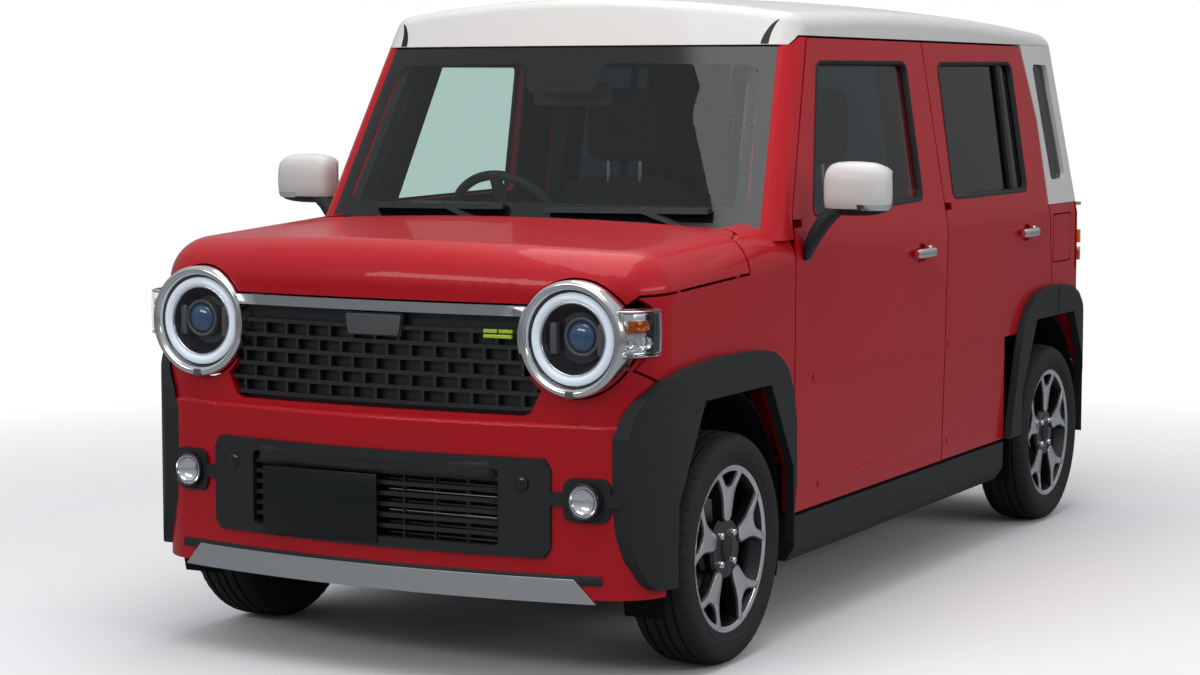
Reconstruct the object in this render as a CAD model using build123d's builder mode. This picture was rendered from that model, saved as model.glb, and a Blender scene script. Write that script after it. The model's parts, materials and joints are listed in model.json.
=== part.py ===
"""Kei car: a tall five-door body on four road wheels.

It is built as separate panels, glass, trim, running gear and seats, in millimetres. +Z is up, the nose points
to -Y and +X is the car's own left side. The origin is on the ground, under the middle of the car. Left-hand
pieces are built on the +X side and mirrored.
"""

import os
from functools import cache
from math import atan2, cos, degrees, hypot, pi, radians, sin

from build123d import *

os.makedirs("parts", exist_ok=True)

# ---------------------------------------------------------------- driving dimensions
length = 3395
wheelbase = 2460
track = 1290
front_overhang = 533
body_half_width = 712
roof_height = 1680

guard_proud = 8
y_nose = -length / 2
bumper_y = y_nose + guard_proud
y_tail = length / 2
front_axle_y = y_nose + front_overhang
rear_axle_y = front_axle_y + wheelbase

# heights
body_low = 190
belt_z = 1000
door_low = 320
rail_z = 1554
tumblehome = 0.136

# plan of the lower body
face_y = y_nose + 32
nose_sag = 70
nose_corner = 150
tail_sag = 28
tail_corner = 110

# bonnet top: height on the nose's plane, rise towards the windscreen, crown and shoulder
bonnet_nose_z = 1048
bonnet_slope = atan2(27, 534)
nose_end_y = -600
bonnet_crown = 30
bonnet_shoulder = 112
bonnet_rear_y = -1002
bonnet_side_rear_y = -1055
bonnet_side_low = 962

# windscreen and tail, on the centre line
screen_base_y = -928
screen_base_z = 1060
screen_rake = 0.516
screen_sag = 65
screen_corner = 80
tail_rake = 0.18
roof_crown = 80
roof_long_radius = 19000
roof_top_y = 250
roof_shoulder = 55
outer_half = 800

# panels
skin = 12
door_thickness = 75
frame_thickness = 42
pillar_outer = 85
pillar_inner = 140
quarter_thickness = 70
house_thickness = 138
gap = 7
glass_thickness = 5
glass_inset = 8

# wheels
tyre_radius = 288
tyre_width = 165
rim_radius = 205
bead_radius = 190.5
barrel_half = 66
rim_seat = 0.5
hub_z = tyre_radius
wheel_x = track / 2
disc_radius = 118
disc_thickness = 20


# ---------------------------------------------------------------- shared shapes
def keep(solid, label):
    """Name a finished piece and write it."""
    solid.label = label
    export_step(solid, f"parts/{label}.step")


def prism_x(points, x0, x1, corner=0.0):
    """A solid between x0 and x1 with a (y, z) outline."""
    with BuildPart() as prism:
        with BuildSketch(Plane.YZ.offset(x0)) as outline:
            with BuildLine():
                Polyline(*points, close=True)
            make_face()
            if corner:
                fillet(outline.vertices(), corner)
        extrude(amount=x1 - x0)
    return prism.part


def prism_y(points, y0, y1, corner=0.0):
    """A solid between y0 and y1 with an (x, z) outline."""
    with BuildPart() as prism:
        with BuildSketch(Plane.XZ.offset(-y0)) as outline:
            with BuildLine():
                Polyline(*points, close=True)
            make_face()
            if corner:
                fillet(outline.vertices(), corner)
        extrude(amount=-(y1 - y0))
    return prism.part


def prism_z(points, z0, z1, corner=0.0):
    """A solid between z0 and z1 with an (x, y) outline."""
    with BuildPart() as prism:
        with BuildSketch(Plane.XY.offset(z0)) as outline:
            with BuildLine():
                Polyline(*points, close=True)
            make_face()
            if corner:
                fillet(outline.vertices(), corner)
        extrude(amount=z1 - z0)
    return prism.part


def box(x, y, z):
    """A block between pairs of x, y and z."""
    return prism_z([(x[0], y[0]), (x[1], y[0]), (x[1], y[1]), (x[0], y[1])], z[0], z[1])


def rod_x(y, z, radius, x0, x1):
    """A round bar along X."""
    with BuildPart() as rod:
        with BuildSketch(Plane.YZ.offset(x0)):
            with Locations((y, z)):
                Circle(radius)
        extrude(amount=x1 - x0)
    return rod.part


def rod_y(x, z, radius, y0, y1):
    """A round bar along Y."""
    with BuildPart() as rod:
        with BuildSketch(Plane.XZ.offset(-y0)):
            with Locations((x, z)):
                Circle(radius)
        extrude(amount=-(y1 - y0))
    return rod.part


def cut(solid, *tools):
    """A solid less its tools."""
    with BuildPart() as result:
        add(solid)
        for tool in tools:
            add(tool, mode=Mode.SUBTRACT)
    return result.part


def common(solid, *tools):
    """What a solid shares with its tools."""
    with BuildPart() as result:
        add(solid)
        for tool in tools:
            add(tool, mode=Mode.INTERSECT)
    return result.part


def joined(*solids):
    """Solids fused where they meet."""
    with BuildPart() as result:
        for solid in solids:
            add(solid)
    return result.part


def both_sides(solid):
    """A left-hand solid with its right-hand copy."""
    return joined(solid, mirror(solid, about=Plane.YZ))


def right_hand(solid):
    """The right-hand copy of a left-hand solid."""
    return mirror(solid, about=Plane.YZ)


def plan(z, half, y_front, front_sag, y_rear, rear_sag, r_front, r_rear):
    """A plan outline at a height: bowed front and rear, straight sides, rounded corners."""
    side_front, side_rear = y_front + front_sag, y_rear - rear_sag
    with BuildSketch(Plane.XY.offset(z)) as outline:
        with BuildLine():
            ThreePointArc((-half, side_front), (0, y_front), (half, side_front))
            Line((half, side_front), (half, side_rear))
            ThreePointArc((half, side_rear), (0, y_rear), (-half, side_rear))
            Line((-half, side_rear), (-half, side_front))
        make_face()
        fillet([v for v in outline.vertices() if v.Y < 0], r_front)
        fillet([v for v in outline.vertices() if v.Y > 0 and abs(v.Y - side_rear) < 0.01], r_rear)
    return outline.sketch


@cache
def tub_volume(inset=0.0, low=body_low):
    """The body below the belt, drawn in by an inset."""
    half = body_half_width - inset
    with BuildPart() as volume:
        add(plan(low, half, face_y + inset, nose_sag, y_tail - inset, tail_sag,
                 max(nose_corner - inset, 40), max(tail_corner - inset, 40)))
        extrude(amount=belt_z - low)
    return volume.part


@cache
def nose_volume(inset=0.0, low=body_low):
    """The nose with the rounded bonnet on top, drawn in by an inset."""
    half = body_half_width - inset
    slope = Plane(
        origin=(0, y_nose, bonnet_nose_z - inset),
        x_dir=(1, 0, 0),
        z_dir=(0, -cos(bonnet_slope), -sin(bonnet_slope)),
    )
    with BuildSketch(slope) as section:
        with BuildLine():
            Polyline(
                (-outer_half, -bonnet_crown),
                (-outer_half, -roof_height),
                (outer_half, -roof_height),
                (outer_half, -bonnet_crown),
            )
            ThreePointArc((outer_half, -bonnet_crown), (0, 0), (-outer_half, -bonnet_crown))
        make_face()
    with BuildPart() as volume:
        add(plan(low, half, face_y + inset, nose_sag, y_tail, tail_sag, nose_corner - inset, tail_corner))
        extrude(amount=roof_height)
        extrude(section.sketch, amount=-length / 2, both=True, mode=Mode.INTERSECT)
        split(bisect_by=Plane.XZ.offset(-nose_end_y), keep=Keep.TOP)
        top = volume.faces().sort_by(Axis.Z)[-1]
        rim = [edge for edge in top.edges() if edge.center().Y < nose_end_y - 1]
        fillet(rim, bonnet_shoulder - inset)
    return volume.part


def half_width(z, inset=0.0):
    """Half the body's width at a height."""
    return body_half_width - tumblehome * max(0, z - belt_z) - inset


@cache
def cabin_volume(inset=0.0, low=belt_z):
    """The cabin above the belt: raked bowed screen, leaning sides and crowned roof, drawn in by an inset."""
    crown_axis = Axis((0, roof_top_y, roof_height - roof_long_radius), (1, 0, 0))
    edge = roof_height - inset - roof_crown
    with BuildSketch(Plane.XZ.offset(-roof_top_y)) as section:
        with BuildLine():
            Polyline((-outer_half, edge), (-outer_half, low), (outer_half, low), (outer_half, edge))
            ThreePointArc((outer_half, edge), (0, roof_height - inset), (-outer_half, edge))
        make_face()
    swing = degrees(length / roof_long_radius) / 2 + 2
    with BuildPart() as volume:
        for z in (low, roof_height + roof_crown):
            y_front = screen_base_y + screen_rake * (z - screen_base_z) + inset
            y_rear = y_tail - tail_rake * (z - belt_z) - inset
            half = half_width(z, inset)
            add(plan(z, half, y_front, screen_sag, y_rear, tail_sag, screen_corner - inset / 2,
                     max(tail_corner - inset, 40)))
        loft(ruled=True)
        turned = section.sketch.rotate(crown_axis, -swing)
        revolve(turned, axis=crown_axis, revolution_arc=2 * swing, mode=Mode.INTERSECT)
        top = volume.faces().sort_by(Axis.Z)[-1]
        fillet(top.edges(), max(roof_shoulder - inset / 2, 16))
    return volume.part


@cache
def strip(outer, inner, y0, y1, z0=body_low, z1=roof_height):
    """A left side wall between two insets, following the side's lean."""
    levels = [z0, belt_z, z1]
    out = [(half_width(z, outer), z) for z in levels]
    back = [(half_width(z, inner), z) for z in reversed(levels)]
    return prism_y(out + back, y0, y1)


def side_panel(outline, outer, inner, corner=0.0):
    """A left side panel with a (y, z) outline between two insets."""
    return common(strip(outer, inner, -900, 1450), prism_x(outline, 300, outer_half, corner))


@cache
def nose_shell(outer, inner):
    """The nose's skin between two insets."""
    return cut(nose_volume(outer), nose_volume(inner, low=body_low - 10))


@cache
def tub_shell(outer, inner, low=body_low):
    """The lower body's skin between two insets."""
    return cut(tub_volume(outer, low), tub_volume(inner, low - 10))


@cache
def cabin_shell(outer, inner):
    """The cabin's skin between two insets."""
    return cut(cabin_volume(outer), cabin_volume(inner, low=belt_z - 10))


# ---------------------------------------------------------------- outlines, (y, z)
seam = gap / 2
door_front_foot = -777
door_front_belt = (-768, 1090)
door_front_top = -537
mid_seam = [(309, door_low), (332, 677), (348, 1017), (303, rail_z)]
door_rear_edge = [(1186, rail_z), (1272, 1316), (1294, 1036), (1324, 772)]


def arch(axle_y, half_top, half_foot, top, foot_z, knee_z, half_knee):
    """A wheel arch outline about an axle: foot, knee and flat top."""
    side = [(half_foot, foot_z), (half_knee, knee_z), (half_top, top)]
    return [(axle_y + y, z) for y, z in side] + [(axle_y - y, z) for y, z in reversed(side)]


def arch_opening(axle_y, grow=0.0):
    """The open wheel arch."""
    return arch(axle_y, 190 + grow / 2, 335 + grow, 676 + grow, 120, 450, 330 + grow)


# ---------------------------------------------------------------- doors
def door(outline, window, thickness_rear_cut):
    """A left door: deep below the belt, with a slimmer frame round its window."""
    low = side_panel(outline, 0, door_thickness)
    above = prism_x([(-900, belt_z + 60), (1450, belt_z + 60), (1450, 1700), (-900, 1700)], 300, outer_half)
    frame_back = common(strip(frame_thickness, door_thickness + 5, -900, 1450), above)
    opening = prism_x(window, 300, outer_half, corner=28)
    return cut(low, frame_back, opening, *thickness_rear_cut)


front_outline = [
    (door_front_foot + seam, door_low),
    (door_front_belt[0] + seam, door_front_belt[1]),
    (door_front_top + seam, rail_z - seam),
] + [(y - seam, z - (seam if z == rail_z else 0)) for y, z in reversed(mid_seam)]
front_window = [(-629, 1087), (-489, 1485), (153, 1488), (168, 1100)]
hinge_inset_x = 14
hinge_inset_y = 50
door_flange = 8
hinge_pin = 4.5
hinge_sleeve = 9
hinge_levels = (440, 880)
hinge_leaf = 18
front_hinge_y = door_front_foot + seam + hinge_inset_y
hinge_x = body_half_width - hinge_inset_x
front_relief = prism_x([(-900, 0), (front_hinge_y + 12, 0), (front_hinge_y + 12, 1080), (-900, 1080)], 300,
                       body_half_width - door_flange)
rear_hinge_y = mid_seam[1][0] + seam + hinge_inset_y


def hinge_sleeves(hinge_y):
    """The door's half of its hinges: sleeves round the pins on short arms."""
    arms = []
    for z in hinge_levels:
        low, high = z + hinge_leaf + 0.5, z + 2 * hinge_leaf - 0.5
        with BuildPart() as sleeve:
            with BuildSketch(Plane.XY.offset(low)):
                with Locations((hinge_x, hinge_y)):
                    Circle(hinge_sleeve)
                with Locations((hinge_x, hinge_y + 10)):
                    Rectangle(2 * hinge_sleeve, 20)
                with Locations((hinge_x, hinge_y)):
                    Circle(hinge_pin + 0.3, mode=Mode.SUBTRACT)
            extrude(amount=high - low)
        arms.append(sleeve.part)
    return arms


def hinge_leaves(hinge_y):
    """The body's half of the hinges: a pin between two leaves that stand out of the pillar."""
    leaves = []
    for z in hinge_levels:
        for low in (z, z + 2 * hinge_leaf):
            leaves.append(box((body_half_width - pillar_outer - 1, hinge_x), (hinge_y - 4, hinge_y + 4),
                              (low, low + hinge_leaf)))
        with BuildPart() as pin:
            with BuildSketch(Plane.XY.offset(z)):
                with Locations((hinge_x, hinge_y)):
                    Circle(hinge_pin)
            extrude(amount=3 * hinge_leaf)
        leaves.append(pin.part)
    return leaves


handle_table = {"front": (60, 188, 946), "rear": (992, 1120, 959)}


def handle(y0, y1, z):
    """A pull handle standing off the door on two feet."""
    grip = prism_z([(722, y0), (735, y0 + 10), (735, y1 - 10), (722, y1)], z - 11, z + 11)
    feet = [box((body_half_width - 2, 724), (y, y + 16), (z - 9, z + 9)) for y in (y0 + 2, y1 - 18)]
    return joined(grip, *feet)


rib_proud = 2.5
rib_table = {"upper": (650, 672, -653, 883), "lower": (366, 384, -621, 783)}


def ribs(y0, y1):
    """The raised ribs along the doors' lower half, between two ends."""
    made = []
    for low, high, rear_start, rear_end in rib_table.values():
        start, end = max(y0, rear_start), min(y1, rear_end)
        outline = [(start, low), (end, low), (end, high), (start, high)]
        made.append(common(strip(-rib_proud, 5, -900, 1450), prism_x(outline, 300, outer_half, corner=6)))
    return made


def handle_bowl(y0, y1, z):
    """The hollow for fingers behind a handle."""
    return prism_x([(y0 + 22, z - 27), (y1 - 22, z - 27), (y1 - 22, z + 25), (y0 + 22, z + 25)],
                   body_half_width - 10, 760, corner=24)


door_front = joined(
    door(front_outline, front_window, [front_relief, handle_bowl(*handle_table["front"])]),
    *ribs(-900, mid_seam[0][0] - 25),
    handle(*handle_table["front"]), *hinge_sleeves(front_hinge_y)
)
keep(door_front, "door_front_left")
keep(right_hand(door_front), "door_front_right")

rear_outline = (
    [(mid_seam[0][0] + seam, door_low)]
    + [(y + seam, z - (seam if z == rail_z else 0)) for y, z in mid_seam[1:]]
    + [(y - seam, z - (seam if z == rail_z else 0)) for y, z in door_rear_edge]
    + [(door_rear_edge[-1][0] - seam, 640), (861, 640), (861, door_low)]
)
rear_window = [(425, 1094), (419, 1488), (1072, 1494), (1093, 1094)]
rear_relief = prism_x([(0, 0), (rear_hinge_y + 12, 0), (rear_hinge_y + 12, 1080), (0, 1080)], 300,
                      body_half_width - door_flange)
rear_arch_cut = prism_x(arch_opening(rear_axle_y, 12), 300, outer_half)
door_rear = cut(
    joined(door(rear_outline, rear_window, [rear_relief, handle_bowl(*handle_table["rear"])]),
           *ribs(mid_seam[1][0] + 20, 820)),
    rear_arch_cut,
)
door_rear = joined(door_rear, handle(*handle_table["rear"]), *hinge_sleeves(rear_hinge_y))
keep(door_rear, "door_rear_left")
keep(right_hand(door_rear), "door_rear_right")


def pane(window, grow):
    """Side glass that fills a window, let into the frame's middle."""
    ys = [y for y, z in window]
    zs = [z for y, z in window]
    cy, cz = sum(ys) / 4, sum(zs) / 4
    grown = [(y + (grow if y > cy else -grow), z + (grow if z > cz else -grow)) for y, z in window]
    return side_panel(grown, glass_inset + 6, glass_inset + 6 + glass_thickness, corner=28.2)


for label, window in (("front", front_window), ("rear", rear_window)):
    glass = pane(window, -0.3)
    keep(glass, f"glass_{label}_left")
    keep(right_hand(glass), f"glass_{label}_right")

# ---------------------------------------------------------------- door mirrors
mirror_body = prism_z([(762, -735), (930, -735), (938, -700), (905, -640), (775, -648)], 1092, 1228,
                      corner=16)
with BuildPart() as mirror_case:
    add(mirror_body)
    fillet(mirror_case.edges().filter_by(GeomType.LINE, reverse=True).group_by(Axis.Z)[-1], 12)
mirror_stalk = prism_y([(700, 985), (722, 985), (792, 1094), (772, 1110), (700, 1075)], -728, -690)
mirror_left = cut(joined(mirror_case.part, mirror_stalk), strip(-0.3, 400, -900, 0))
keep(mirror_left, "mirror_left")
keep(right_hand(mirror_left), "mirror_right")

# ---------------------------------------------------------------- wheels
tyre_profile = [
    (bead_radius + rim_seat, -59),
    (rim_radius + rim_seat, -63),
    (rim_radius + 2 * rim_seat, -70),
    (rim_radius + 22, -tyre_width / 2),
    (tyre_radius - 26, -tyre_width / 2 + 4),
    (tyre_radius - 4, -62),
    (tyre_radius, -44),
    (tyre_radius, 44),
    (tyre_radius - 4, 62),
    (tyre_radius - 26, tyre_width / 2 - 4),
    (rim_radius + 22, tyre_width / 2),
    (rim_radius + 2 * rim_seat, 70),
    (rim_radius + rim_seat, 63),
    (bead_radius + rim_seat, 59),
]


def spun(profile, x, y, z=hub_z):
    """A ring about the wheel's axle from (radius, along) points."""
    with BuildPart() as ring:
        with BuildSketch(Plane.XY) as section:
            with BuildLine():
                Polyline(*[(along, radius) for radius, along in profile], close=True)
            make_face()
        revolve(axis=Axis.X)
    return ring.part.moved(Location((x, y, z)))


barrel_profile = [
    (rim_radius, -barrel_half),
    (rim_radius - 8, -barrel_half),
    (176, -barrel_half + 14),
    (168, 20),
    (184, barrel_half - 8),
    (198, barrel_half),
    (rim_radius, barrel_half),
    (rim_radius, 64),
    (bead_radius, 60),
    (bead_radius, -60),
    (rim_radius, -64),
]
disc_profile = [
    (0.01, 28),
    (0.01, 62),
    (34, 62),
    (60, 56),
    (150, 62),
    (190, 60),
    (182, 44),
    (150, 40),
    (80, 30),
    (72, 28),
]


wide_half = [(20, 80), (42, 111), (49, 132), (49, 156), (38, 175)]
wide_window = [(0, 78)] + wide_half + [(0, 183)] + [(-x, z) for x, z in reversed(wide_half)]
fork_half = [(15, 166), (26, 179)]
fork_window = [(0, 159)] + fork_half + [(0, 182)] + [(-x, z) for x, z in reversed(fork_half)]


def wheel_rim(x, y):
    """Five forked spokes in a drop-centre rim, with the turning part of the brake behind."""
    with BuildPart() as spokes:
        add(spun(disc_profile, 0, 0, 0))
        for turn in range(5):
            for window, start in ((wide_window, 36), (fork_window, 0)):
                tool = prism_x(window, 20, 80, corner=4)
                add(tool.rotate(Axis.X, start + turn * 72), mode=Mode.SUBTRACT)
        with BuildSketch(Plane.YZ.offset(-20)):
            Circle(disc_radius)
        extrude(amount=disc_thickness)
        with BuildSketch(Plane.YZ):
            Circle(76)
            with PolarLocations(50, 4, start_angle=45):
                Circle(6, mode=Mode.SUBTRACT)
        extrude(amount=30)
        add(spun(barrel_profile, 0, 0, 0))
    return spokes.part.moved(Location((x, y, hub_z)))


for end, axle_y in (("front", front_axle_y), ("rear", rear_axle_y)):
    tyre = spun(tyre_profile, wheel_x, axle_y)
    rim = wheel_rim(wheel_x, axle_y)
    for hand, piece in (("left", tyre), ("right", right_hand(tyre))):
        keep(piece, f"tyre_{end}_{hand}")
    for hand, piece in (("left", rim), ("right", right_hand(rim))):
        keep(piece, f"rim_{end}_{hand}")

# ---------------------------------------------------------------- front knuckle, strut and caliper
ball_joint = (578, 215)
strut_top = (470, 770)
king_lean = atan2(ball_joint[0] - strut_top[0], strut_top[1] - ball_joint[1])


def king_x(z):
    """Where the steering axis passes at a height."""
    rise = (z - ball_joint[1]) / (strut_top[1] - ball_joint[1])
    return ball_joint[0] - rise * (ball_joint[0] - strut_top[0])


def along_king(radius, z0, z1, hole=0.0):
    """A round bar or sleeve along the steering axis."""
    base = Plane(origin=(king_x(z0), front_axle_y, z0), z_dir=(-sin(king_lean), 0, cos(king_lean)))
    with BuildPart() as bar:
        with BuildSketch(base):
            Circle(radius)
            if hole:
                Circle(hole, mode=Mode.SUBTRACT)
        extrude(amount=(z1 - z0) / cos(king_lean))
    return bar.part


strut_radius = 24
upright = prism_y(
    [(560, 209), (592, 209), (606, 240), (606, 336), (560, 400), (king_x(400) - 20, 400),
     (king_x(330) - 20, 330)],
    front_axle_y - 34,
    front_axle_y + 34,
)
bearing = rod_x(front_axle_y, hub_z, 46, 575, 616)
caliper = prism_x(
    [(front_axle_y + 78, 250), (front_axle_y + 132, 240), (front_axle_y + 132, 336),
     (front_axle_y + 78, 326)], 605, 668
)
disc_slot = rod_x(front_axle_y, hub_z, disc_radius + 5, 620, 652)
bracket = box((585, 612), (front_axle_y + 20, front_axle_y + 110), (262, 314))
ball_stud = along_king(9, 204.2, 240)
knuckle = joined(upright, ball_stud, bearing, along_king(strut_radius, 330, 690), cut(caliper, disc_slot),
                 cut(bracket, disc_slot))
keep(knuckle, "knuckle_left")
keep(right_hand(knuckle), "knuckle_right")

# ---------------------------------------------------------------- front suspension
spring_sleeve = along_king(60, 600, 740, hole=44)
with BuildPart() as top_mount:
    with BuildSketch(Plane.XY.offset(735)):
        with Locations((king_x(735), front_axle_y)):
            Circle(56)
    extrude(amount=767 - 735)
lower_arm = prism_z(
    [(330, front_axle_y - 60), (540, front_axle_y - 26), (592, front_axle_y - 22), (592, front_axle_y + 22),
     (540, front_axle_y + 26), (330, front_axle_y + 170)],
    178,
    202,
)
subframe = box((-332, 332), (front_axle_y - 80, front_axle_y + 190), (180, 240))
rack = rod_x(front_axle_y + 120, 300, 26, -470, 470)
rack_feet = [box((x - 20, x + 20), (front_axle_y + 100, front_axle_y + 140), (238, 290)) for x in (-250,
    250)]
front_suspension = joined(subframe, both_sides(lower_arm), rack, *rack_feet)
springs = both_sides(joined(spring_sleeve, top_mount.part))
keep(Compound(children=[front_suspension, *springs.solids()]), "front_suspension")

# ---------------------------------------------------------------- rear axle
trailing_arm = prism_x([(860, 300), (900, 290), (1290, 250), (1340, 250), (1340, 330), (1290, 340),
                        (880, 345)], 490, 545)
spindle = rod_x(rear_axle_y, hub_z, 42, 540, 622)
beam = box((-495, 495), (930, 990), (285, 345))
spring_seat = prism_z([(360, 1120), (495, 1120), (495, 1240), (360, 1240)], 285, 300)
with BuildPart() as coil_spring:
    with BuildSketch(Plane.XY.offset(300)):
        with Locations((428, 1180)):
            Circle(55)
            Circle(38, mode=Mode.SUBTRACT)
    extrude(amount=118)
damper = rod_x(1330, 300, 16, 440, 495)
with BuildPart() as damper_tube:
    with BuildSketch(Plane.XY.offset(286)):
        with Locations((460, 1330)):
            Circle(24)
    extrude(amount=132)
rear_axle = joined(
    beam, both_sides(joined(trailing_arm, spindle, spring_seat, coil_spring.part, damper, damper_tube.part))
)
keep(rear_axle, "rear_axle")

# ---------------------------------------------------------------- floor
rear_floor_z = 420
steer_clear_y = -840
steer_clear_x = 402
steer_clear_z = 640
floor_plan = [(-571, steer_clear_y), (-steer_clear_x, steer_clear_y), (-steer_clear_x, -870),
              (steer_clear_x, -870),
              (steer_clear_x, steer_clear_y), (571, steer_clear_y), (571, 859), (-571, 859)]
floor_main = prism_z(floor_plan, 250, 262)
riser = box((-540, 540), (848, 859.7), (262, rear_floor_z + 14))
rear_floor = box((-500, 500), (850, 1600), (rear_floor_z, rear_floor_z + 14))
tunnel = box((-90, 90), (-870, 848), (262, 330))
house_base = rear_floor_z + 14.2
house_wall = prism_x(
    [(870, house_base), (1000, 650), (1130, 700), (1460, 700), (1560, 650), (1596, house_base)], 492, 502
)
house_arc = cut(
    prism_x(
        [(940, 640), (1110, 712), (1480, 712), (1580, 640), (1596, house_base), (950, house_base)], 502, 571.5
    ),
    prism_x([(952, 300), (952, 636), (1112, 702), (1478, 702), (1570, 634), (1586, 300)], 400, 640),
)
floor_pan = joined(floor_main, riser, rear_floor, tunnel, both_sides(joined(house_wall, house_arc)))
keep(floor_pan, "floor_pan")

# ------------------------------------------------------------ bulkhead, front rails, strut towers and cowl
firewall = joined(
    box((-571, 571), (-890, -878), (steer_clear_z, 1030)),
    box((-steer_clear_x, steer_clear_x), (-890, -878), (262, steer_clear_z)),
    both_sides(box((steer_clear_x - 12, steer_clear_x), (-890, steer_clear_y + 12), (262, steer_clear_z))),
    both_sides(box((steer_clear_x - 12, 571), (steer_clear_y, steer_clear_y + 12),
                   (262, steer_clear_z + 12))),
    both_sides(box((steer_clear_x - 12, 571), (-890, steer_clear_y + 12),
                   (steer_clear_z, steer_clear_z + 12))),
)
toe_board = box((-steer_clear_x, steer_clear_x), (-890, -870), (250, 262))
cowl = joined(
    box((-640, 640), (-984, -972), (985, 1040)), box((-640, 640), (-984, -878), (985, 995)),
)
rail = box((325, 380), (-1610, -890), (400, 480))
radiator_support = box((-440, 440), (-1600, -1575), (330, 700))
tower = cut(
    box((385, 560), (front_axle_y - 110, front_axle_y + 110), (590, 790)),
    box((397, 572), (front_axle_y - 98, front_axle_y + 98), (580, 767)),
)
tower_brace = box((385, 560), (front_axle_y + 110, -890), (700, 790))
tower_foot = box((325, 397), (front_axle_y - 60, front_axle_y + 60), (470, 600))
bulkhead = joined(firewall, toe_board, cowl, radiator_support,
                  both_sides(joined(rail, tower, tower_brace, tower_foot)))
keep(bulkhead, "bulkhead")

# ---------------------------------------------------------------- side frames
ring_outline = [
    (steer_clear_y, 200), (steer_clear_y, steer_clear_z), (-868, steer_clear_z + 30), (-862, 1040), (-606,
        1560), (-606, 1700), (1290, 1700), (1290, 720),
    (1000, 640), (900, 440), (868, 200),
]
front_opening = [(-690, 345), (-690, 1060), (-495, 1505), (265, 1505), (290, 1010), (270, 345)]
rear_opening = [(385, 345), (400, 1010), (385, 1505), (1125, 1505), (1215, 1060), (1215, 800), (1000, 700),
                (830, 345)]
ring = cut(
    side_panel(ring_outline, pillar_outer, pillar_inner),
    prism_x(front_opening, 300, outer_half, corner=40),
    prism_x(rear_opening, 300, outer_half, corner=40),
)
ring = common(ring, joined(cabin_volume(frame_thickness + 0.3), tub_volume(0)))
rocker = box((572, 640), (steer_clear_y, 850), (200, 311))
screen_wrap = screen_sag
screen_edge_low = (screen_base_y + screen_rake * (1030 - screen_base_z) + screen_wrap, 1030)
screen_edge_top = (screen_base_y + screen_rake * (1532 - screen_base_z) + screen_wrap, 1532)
pillar_outline = [(screen_edge_low[0] + 0.3, 1030), (screen_edge_top[0] + 0.3, 1532), (-605, 1532),
                  (-573, 1552),
                  (-544, 1552), (door_front_belt[0] - seam, 1092), (-774, 1030)]
pillar = common(cabin_shell(0, 70), strip(-1, 120, -1000, -400), prism_x(pillar_outline, 300, outer_half))
side_frame = joined(ring, rocker, pillar, *hinge_leaves(front_hinge_y), *hinge_leaves(rear_hinge_y))
keep(both_sides(side_frame), "side_frames")

# ---------------------------------------------------------------- roof
roof_outline = [(-800, 1532.3), (-610, 1532.3), (-575, 1557), (1562, 1557), (1562, 1700), (-800, 1700)]
roof_panel = common(cabin_shell(0, frame_thickness), prism_x(roof_outline, -outer_half, outer_half))
keep(roof_panel, "roof_panel")

# ---------------------------------------------------------------- rear quarters
quarter_line = 1036
gate_outline = [(600, 486), (600, 1040), (556, 1580), (556, 1720)]


def gate_prism(grow, y0):
    """The tailgate's opening as seen from behind."""
    right = [(x + grow, z) for x, z in gate_outline]
    right[0] = (right[0][0], right[0][1] - grow)
    return prism_y(right + [(-x, z) for x, z in reversed(right)], y0, y_tail + 50)


upper_outline = [(y + seam, z) for y, z in reversed(door_rear_edge[:3])]
upper_outline[0] = (upper_outline[0][0], quarter_line + 2)
upper_outline[-1] = (upper_outline[-1][0], 1556)
upper_quarter = cut(
    common(
        cabin_shell(0, quarter_thickness),
        prism_x(upper_outline + [(1720, 1556), (1720, quarter_line + 2)], 300, outer_half),
    ),
    gate_prism(gap, 1400),
    strip(quarter_thickness, 450, -900, 1560),
    prism_x([(1350, 1115), (1289, 1495), (1432, 1492), (1499, 1120)], 300, outer_half, corner=20),
)
keep(both_sides(upper_quarter), "upper_quarters")

lower_outline = [(door_rear_edge[2][0] + seam, quarter_line), (door_rear_edge[3][0] + seam, 772),
                 (1327, 500), (1720, 500),
                 (1720, quarter_line)]
lamp_box = box((612, 720), (1560, 1720), (812, quarter_line + 12))
lower_quarter_solid = joined(
    common(tub_shell(0, house_thickness), prism_x(lower_outline, 300, outer_half)),
    common(cabin_shell(0, quarter_thickness), prism_x(lower_outline, 300, outer_half)),
)
lower_quarter = cut(
    lower_quarter_solid,
    gate_prism(gap, 1400),
    prism_x(arch_opening(rear_axle_y, 12), 300, outer_half),
    lamp_box,
)
lid_outline = [(1336, 848), (1336, 1002), (1508, 1002), (1508, 848)]
lid_pocket = prism_x([(1332, 844), (1332, 1006), (1512, 1006), (1512, 844)], body_half_width - 42, 740,
                     corner=6)
keep(joined(cut(lower_quarter, lid_pocket), right_hand(lower_quarter)), "lower_quarters")
fuel_lid = prism_x(lid_outline, body_half_width - 8, body_half_width, corner=18)
lid_axis = (706, 1340)
with BuildPart() as lid_pins:
    with BuildSketch(Plane.XY.offset(844.3)):
        with Locations(lid_axis):
            Circle(3)
    extrude(amount=1006 - 844 - 0.6)
fuel_lid = joined(fuel_lid, lid_pins.part)
keep(fuel_lid, "fuel_lid")

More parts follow.
